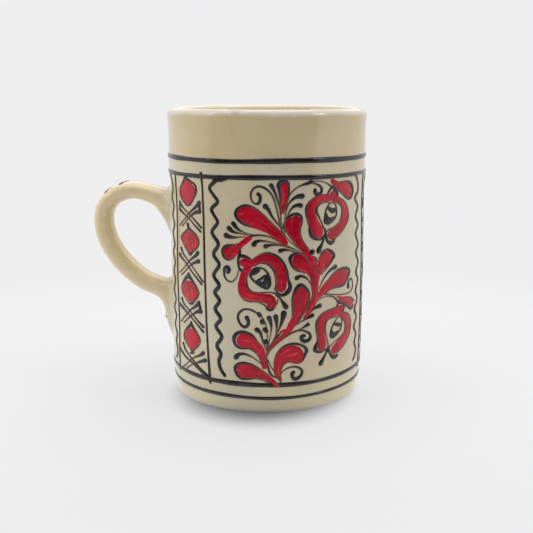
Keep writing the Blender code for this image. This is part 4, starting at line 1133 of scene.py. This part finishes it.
def cream_glaze():
    """Glossy cream glaze over pale slip: mottled, streaked round the pot, thin at the lip with a painted
    highlight, bare beneath with a painted highlight along the foot's edge.
    """
    look = Finish("cream_glaze")
    x, y, height = look.split(look.place)
    reach = look.math("SQRT", look.math("ADD", look.math("POWER", x, 2.0), look.math("POWER", y, 2.0)))
    clouds = look.noise(look.place, 38.0, detail=4.0)
    fine = look.noise(look.place, 420.0, roughness=0.6)
    turned = look.noise(look.stretched((14.0, 14.0, 330.0)), 1.0, detail=4.0, roughness=0.6, distortion=0.3)
    tone = zoned_cream(look, clouds, height, reach)
    tone = look.mix(look.step(turned, 0.35, 0.7, 0.0, 0.3), tone, CREAM_LIGHT)
    tone = look.mix(look.step(fine, 0.52, 0.8, 0.0, 0.25), tone, CREAM_DEEP)
    low = look.math("ADD", height, look.times(clouds, POOL_WANDER))
    pooled = look.times(look.band(low, POOL_TOP, 0.65, 0.0), look.step(clouds, 0.45, 0.62))
    tone = look.mix(pooled, tone, CREAM_POOLED)
    # Lighter at the lip's top: partly glaze breaking thin, partly a painted highlight.
    lip_wander = look.math("ADD", height, look.times(look.noise(look.place, 90.0), LIP_THIN_HIGHLIGHT_WANDER))
    thin = look.times(look.band(lip_wander, LIP_THIN_HIGHLIGHT, 0.0, 0.8), look.band(reach, LIP_THIN_HIGHLIGHT_INNER))
    tone = speckled(look, look.mix(thin, tone, CREAM_THIN_HIGHLIGHT))
    bare = look.band(look.math("ADD", height, look.times(fine, BARE_WANDER)), BARE_TOP, 1.0, 0.0)
    grit = look.noise(look.place, 1500.0, detail=4.0, roughness=0.7)
    wire = wire_marks(look)
    clay = look.mix(look.step(grit, 0.35, 0.7), CLAY_DARK, CLAY_PALE)
    clay = look.mix(look.step(wire, 0.35, 0.7, 0.0, 0.4), clay, CLAY_PALE)
    tone = look.mix(bare, tone, clay)
    # Painted highlight along the foot's lowest edge, over pale bare clay.
    edge = look.times(look.band(height, FOOT_HIGHLIGHT_TOP, 1.0, 0.0), look.band(height, FOOT_HIGHLIGHT_LOW))
    tone = look.mix(edge, tone, FOOT_EDGE_HIGHLIGHT)
    rough = look.math("ADD", look.times(bare, 0.62), look.step(fine, 0.3, 0.75, 0.10, 0.17))
    normal = look.bump(look.noise(look.place, 150.0, detail=2.0, roughness=0.5), 0.00028, 0.55)
    normal = look.bump(turned, 0.00012, 0.5, normal)
    normal = look.bump(look.times(look.math("ADD", grit, wire), bare), 0.0004, 0.9, normal)
    return look.finish(tone, rough, normal, coat=0.15)


def stroke_load(look):
    """The vector that each stroke carries, and how heavy the slip is."""
    stroke = look.add("ShaderNodeAttribute", attribute_name="stroke").outputs["Vector"]
    return stroke, look.split(stroke)[2]


def dark_slip():
    """Trailed slip under glaze: blue-black where heavy, brown and thin at fine ends and edges."""
    look = Finish("dark_slip")
    _, load = stroke_load(look)
    patches = look.noise(look.place, 210.0, roughness=0.6)
    fine = look.noise(look.place, 900.0, roughness=0.6)
    heavy = look.math("ADD", load, look.math("MULTIPLY_ADD", patches, 0.5, -0.25))
    tone = look.mix(look.step(patches, 0.35, 0.7), SLIP_BLACK, SLIP_BLUE)
    tone = look.mix(look.step(heavy, 0.12, 0.62, 0.85, 0.0), tone, SLIP_BROWN)
    tone = look.mix(look.step(fine, 0.5, 0.85, 0.0, 0.35), tone, SLIP_BLACK)
    rough = look.step(fine, 0.3, 0.7, 0.13, 0.24)
    normal = look.bump(look.math("ADD", patches, look.times(fine, 0.3)), 0.00025, 0.5)
    return look.finish(tone, rough, normal)


def red_slip():
    """Brushed red slip under glaze, with orange streaks along each stroke."""
    look = Finish("red_slip")
    stroke, load = stroke_load(look)
    along = look.stretched((0.11, 0.85, 0.0), stroke)
    streaks = look.noise(along, 1.0, detail=4.0, roughness=0.62, distortion=0.7)
    patches = look.noise(look.place, 160.0, roughness=0.6)
    fine = look.noise(look.place, 1000.0, detail=2.0, roughness=0.6)
    tone = look.mix(look.step(patches, 0.3, 0.7), RED_DEEP, RED_BRIGHT)
    tone = look.mix(look.step(streaks, 0.555, 0.70, 0.0, 0.85), tone, RED_ORANGE)
    tone = look.mix(look.step(streaks, 0.22, 0.4, 0.5, 0.0), tone, RED_DEEP)
    thin = look.times(look.step(load, 0.25, 0.7, 1.0, 0.0), look.step(patches, 0.4, 0.65))
    tone = look.mix(look.times(thin, 0.35), tone, RED_ORANGE)
    rough = look.step(fine, 0.3, 0.7, 0.10, 0.2)
    normal = look.bump(look.math("ADD", streaks, look.times(fine, 0.25)), 0.00018, 0.5)
    return look.finish(tone, rough, normal, coat=0.05, specular=0.4)


# ---------------------------------------------------------------- the ornament
RING_WOBBLE = [(0.16, 2, 1.3), (0.1, 5, 1)]  # size, waves round the mug, shift from ring to ring
RING_SWELL = [(0.1, 3, 1), (0.07, 11, 2)]


def waves(angle, number, terms):
    return sum(size * np.sin(count * angle + shift * number) for size, count, shift in terms)


def draw_rings(material):
    distance = np.linspace(0, CIRCUMFERENCE, RING_POINTS, endpoint=False)
    angle = distance / FLAT_RADIUS
    for number, (name, (height, width, rise)) in enumerate(RINGS.items()):
        heights = height + rise * np.sin(angle) ** 2 + waves(angle, number, RING_WOBBLE)
        widths = width * (1 + waves(angle, number, RING_SWELL))
        ring = Drawing(on_wall)
        ring.loop(np.column_stack([distance, heights, widths]))
        ring.piece(name + ".trailed", material, "dark_slip", name)


def draw_panel(panel, number, dark, red):
    """A panel's borders and wavy lines as their own pieces, and its buds and crosses."""
    centre, wander = PANELS[panel], COPY_DRIFT if number else 0.0
    middle = centre + PANEL_SHIFT.get(panel, 0.0)
    borders = {"left": (BORDER_LEFT, WAVE_LEFT), "right": (BORDER_RIGHT, WAVE_RIGHT)}
    for side, lines in borders.items():
        for kind, rows in zip(("border", "wave"), lines):
            line = Drawing(on_wall, wander, number)
            line.line(rows, place=centre if (kind, side) == ("wave", "left") else middle)
            name = f"slip_{kind}_{panel}_{side}"
            line.piece(name + ".trailed", dark, "dark_slip", name)
    figures = Drawing(on_wall, wander, number)
    fills = Drawing(on_wall, wander, number)
    for i, (left, right, outline) in enumerate(BUDS):
        fills.petal(left, right, RED_STEP_UP["buds"] * i, middle)
        figures.line(outline, place=middle)
    for rows in BUD_DOTS + CROSSES:
        figures.line(rows, place=middle)
    for rows in PANEL_JOINS:
        figures.line(rows, place=centre)
    figures.piece(f"crosses_and_buds_{panel}", dark, "dark_slip")
    fills.piece(f"bud_fills_{panel}", red, "red_slip")


def draw_spray(spray, number, dark, red):
    """The flowers, petals and curls of one side: the red first, then the dark lines."""
    centre, wander = SPRAYS[spray], COPY_DRIFT if number else 0.0
    fills = Drawing(on_wall, wander, SPRAY_SEED + number)
    for i, (left, right) in enumerate(PETALS):
        fills.petal(left, right, RED_STEP_UP["petals"] * i, centre)
    for i, rows in enumerate(RED_STROKES):
        fills.broad(rows, RED_STROKES_LIFT + RED_STEP_UP["strokes"] * i, centre)
    fills.broad(RED_OVER_RING, DARK_HEIGHT, centre)
    fills.piece(f"spray_fills_{spray}", red, "red_slip")
    lines = Drawing(on_wall, wander, SPRAY_SEED + number)
    for rows in DARK_STROKES:
        lines.line(rows, place=centre)
    lines.piece(f"spray_lines_{spray}", dark, "dark_slip")


def draw_handle_dashes(material):
    dashes = Drawing(on_spine)
    for i, start in enumerate(DASH_PLACES):
        lean = DASH_LEAN * (1 + 0.12 * math.sin(2.1 * i))
        half = DASH_HALF * (1 + 0.08 * math.sin(1.3 * i + 1))
        aside = DASH_ASIDE_HIDDEN if DASH_HIDDEN[0] <= start <= DASH_HIDDEN[1] else DASH_ASIDE
        rows = [(start + lean * share, aside + 2 * half * share, width) for share, width in DASH_ROWS]
        dashes.line(rows, rise=DASH_HEIGHT)
    dashes.piece("handle_dashes", material, "dark_slip")


# ---------------------------------------------------------------- the studio, in metres
WORLD_LIGHT = (0.856, 0.856, 0.868, 1.0)
FLOOR_ALBEDO = colour(0.71, 0.71, 0.715)
FLOOR_MOTTLE = colour(0.68, 0.68, 0.685)
FLOOR_RADIUS = 0.34
FLOOR_FADE = (0.15, 0.30)
FLOOR_GLOW = 0.65
CONTACT_COLOUR = colour(0.02, 0.02, 0.02)
CONTACT_RADII = (0.0425, 0.053)
CONTACT_SHIFT = (0.001, 0.009, 0.0)
CONTACT_FADE = (0.5, 1.0)
CONTACT_DARK = 0.8
CARD_ALBEDO = colour(0.020, 0.020, 0.021)
CARD_LOW_ALBEDO = colour(0.62, 0.62, 0.625)
CARD_SHADE = (-0.17, 0.0)  # heights between which the card's low part turns to its dark one
CARD_DISTANCE = 0.75
CARD_HALF_SPREAD = 62.0    # degrees
CARD_COLUMNS = 33
CARD_HEIGHT = 0.75
CARD_DROP = 0.4
CAMERA_DISTANCE = 0.4148
CAMERA_HEIGHT = 0.1306
CAMERA_TURN = 5.6          # degrees
CAMERA_DIP = 10.65         # degrees
CAMERA_LENS = 66.28        # millimetres, on a sensor 36 wide
CAMERA_SHIFT = -0.0009
LIGHTS = {  # place, aim, size, power, and whether matt and glossy surfaces see it
    "top_softbox": ((0.05, 0.05, 0.95), (0, 0, 0.05), (0.8, 0.8), 4.2, True, True),
    "back_softbox": ((0.0, 0.80, 0.80), (0, 0, 0.11), (0.9, 0.5), 1.8, True, False),
    "back_gleam": ((0.0, 0.80, 0.72), (0, 0, 0.11), (1.2, 0.7), 2.2, False, True),
    "left_softbox": ((-0.75, -0.45, 0.62), (0, 0, 0.06), (0.22, 0.34), 1.5, True, True),
    "right_softbox": ((0.85, -0.35, 0.5), (0, 0, 0.06), (0.22, 0.34), 1.6, True, True),
    "left_fill": ((-0.50, -0.38, 0.10), (-0.04, 0, 0.05), (0.3, 0.3), 0.95, True, False),
    "front_fill": ((-0.05, -0.66, 0.12), (0, 0, 0.05), (0.3, 0.3), 0.3, True, False),
}


def make_floor():
    """A round of pale paper that fades out, with a soft contact shadow painted on."""
    look = Finish("studio_floor")
    shown = look.step(look.length(look.place), *FLOOR_FADE, 1.0, 0.0)
    paper = look.step(look.noise(look.place, 700.0), 0.3, 0.7, 0.0, 0.03)
    scale = (1 / CONTACT_RADII[0], 1 / CONTACT_RADII[1], 0.0)
    under = look.stretched(scale, look.vector("ADD", look.place, CONTACT_SHIFT))
    contact = look.step(look.length(under), *CONTACT_FADE, CONTACT_DARK, 0.0)
    tone = look.mix(contact, look.mix(paper, FLOOR_ALBEDO, FLOOR_MOTTLE), CONTACT_COLOUR)
    matt = look.add("ShaderNodeBsdfDiffuse", {"Color": tone}).outputs[0]
    glow = look.mix(contact, WORLD_LIGHT, CONTACT_COLOUR)
    glow = look.add("ShaderNodeEmission", {"Color": glow}).outputs[0]
    solid = look.add("ShaderNodeMixShader", {0: FLOOR_GLOW, 1: matt, 2: glow}).outputs[0]
    clear = look.add("ShaderNodeBsdfTransparent").outputs[0]
    both = look.add("ShaderNodeMixShader", {0: shown, 1: clear, 2: solid}).outputs[0]
    look.add("ShaderNodeOutputMaterial", {"Surface": both})
    bpy.ops.mesh.primitive_circle_add(vertices=96, radius=FLOOR_RADIUS, fill_type="NGON")
    floor = bpy.context.object
    floor.name = "studio_floor"
    floor.data.materials.append(look.material)
    floor.visible_glossy = False


def make_card():
    """A grey card curved round behind the camera, which the glaze reflects as its darker middle."""
    look = Finish("studio_card")
    tone = look.mix(look.step(look.split(look.place)[2], *CARD_SHADE), CARD_LOW_ALBEDO, CARD_ALBEDO)
    matt = look.add("ShaderNodeBsdfDiffuse", {"Color": tone}).outputs[0]
    look.add("ShaderNodeOutputMaterial", {"Surface": matt})
    turns = np.radians(np.linspace(-CARD_HALF_SPREAD, CARD_HALF_SPREAD, CARD_COLUMNS))
    heights = np.array([-CARD_DROP, CARD_HEIGHT])
    points = round_axis(CARD_DISTANCE, turns[:, None] + 0 * heights, heights).reshape(-1, 3)
    mesh = bpy.data.meshes.new("studio_card")
    mesh.from_pydata(points.tolist(), [], grid_faces(CARD_COLUMNS, 2))
    mesh.materials.append(look.material)
    card = bpy.data.objects.new("studio_card", mesh)
    bpy.context.scene.collection.objects.link(card)
    card.visible_camera = False


def add_light(name, place, aim, size, power, diffuse, glossy):
    light = bpy.data.lights.new(name, "AREA")
    light.shape = "RECTANGLE"
    light.size, light.size_y = size
    light.energy = power
    lamp = bpy.data.objects.new(name, light)
    lamp.location = place
    lamp.rotation_euler = (Vector(aim) - Vector(place)).to_track_quat("-Z", "Y").to_euler()
    bpy.context.scene.collection.objects.link(lamp)
    lamp.visible_camera = False
    lamp.visible_diffuse = diffuse
    lamp.visible_glossy = glossy


def add_camera(scene):
    turn = math.radians(CAMERA_TURN)
    camera = bpy.data.cameras.new("camera")
    camera.lens, camera.sensor_width = CAMERA_LENS, 36.0
    camera.clip_start = 0.01
    camera.shift_x = CAMERA_SHIFT
    eye = bpy.data.objects.new("camera", camera)
    eye.location = (CAMERA_DISTANCE * math.sin(turn), -CAMERA_DISTANCE * math.cos(turn), CAMERA_HEIGHT)
    eye.rotation_euler = (math.radians(90 - CAMERA_DIP), 0, turn)
    scene.collection.objects.link(eye)
    scene.camera = eye


def make_studio():
    scene = bpy.context.scene
    world = bpy.data.worlds.new("studio")
    world.use_nodes = True
    world.node_tree.nodes["Background"].inputs["Color"].default_value = WORLD_LIGHT
    scene.world = world
    make_floor()
    make_card()
    for name, settings in LIGHTS.items():
        add_light(name, *settings)
    add_camera(scene)
    scene.view_settings.view_transform = "Standard"


CREAM, DARK, RED = cream_glaze(), dark_slip(), red_slip()
make_body(CREAM)
make_handle(CREAM)
draw_rings(DARK)
for order, panel_name in enumerate(PANELS):
    draw_panel(panel_name, order, DARK, RED)
for order, spray_name in enumerate(SPRAYS):
    draw_spray(spray_name, order, DARK, RED)
draw_handle_dashes(DARK)
make_studio()
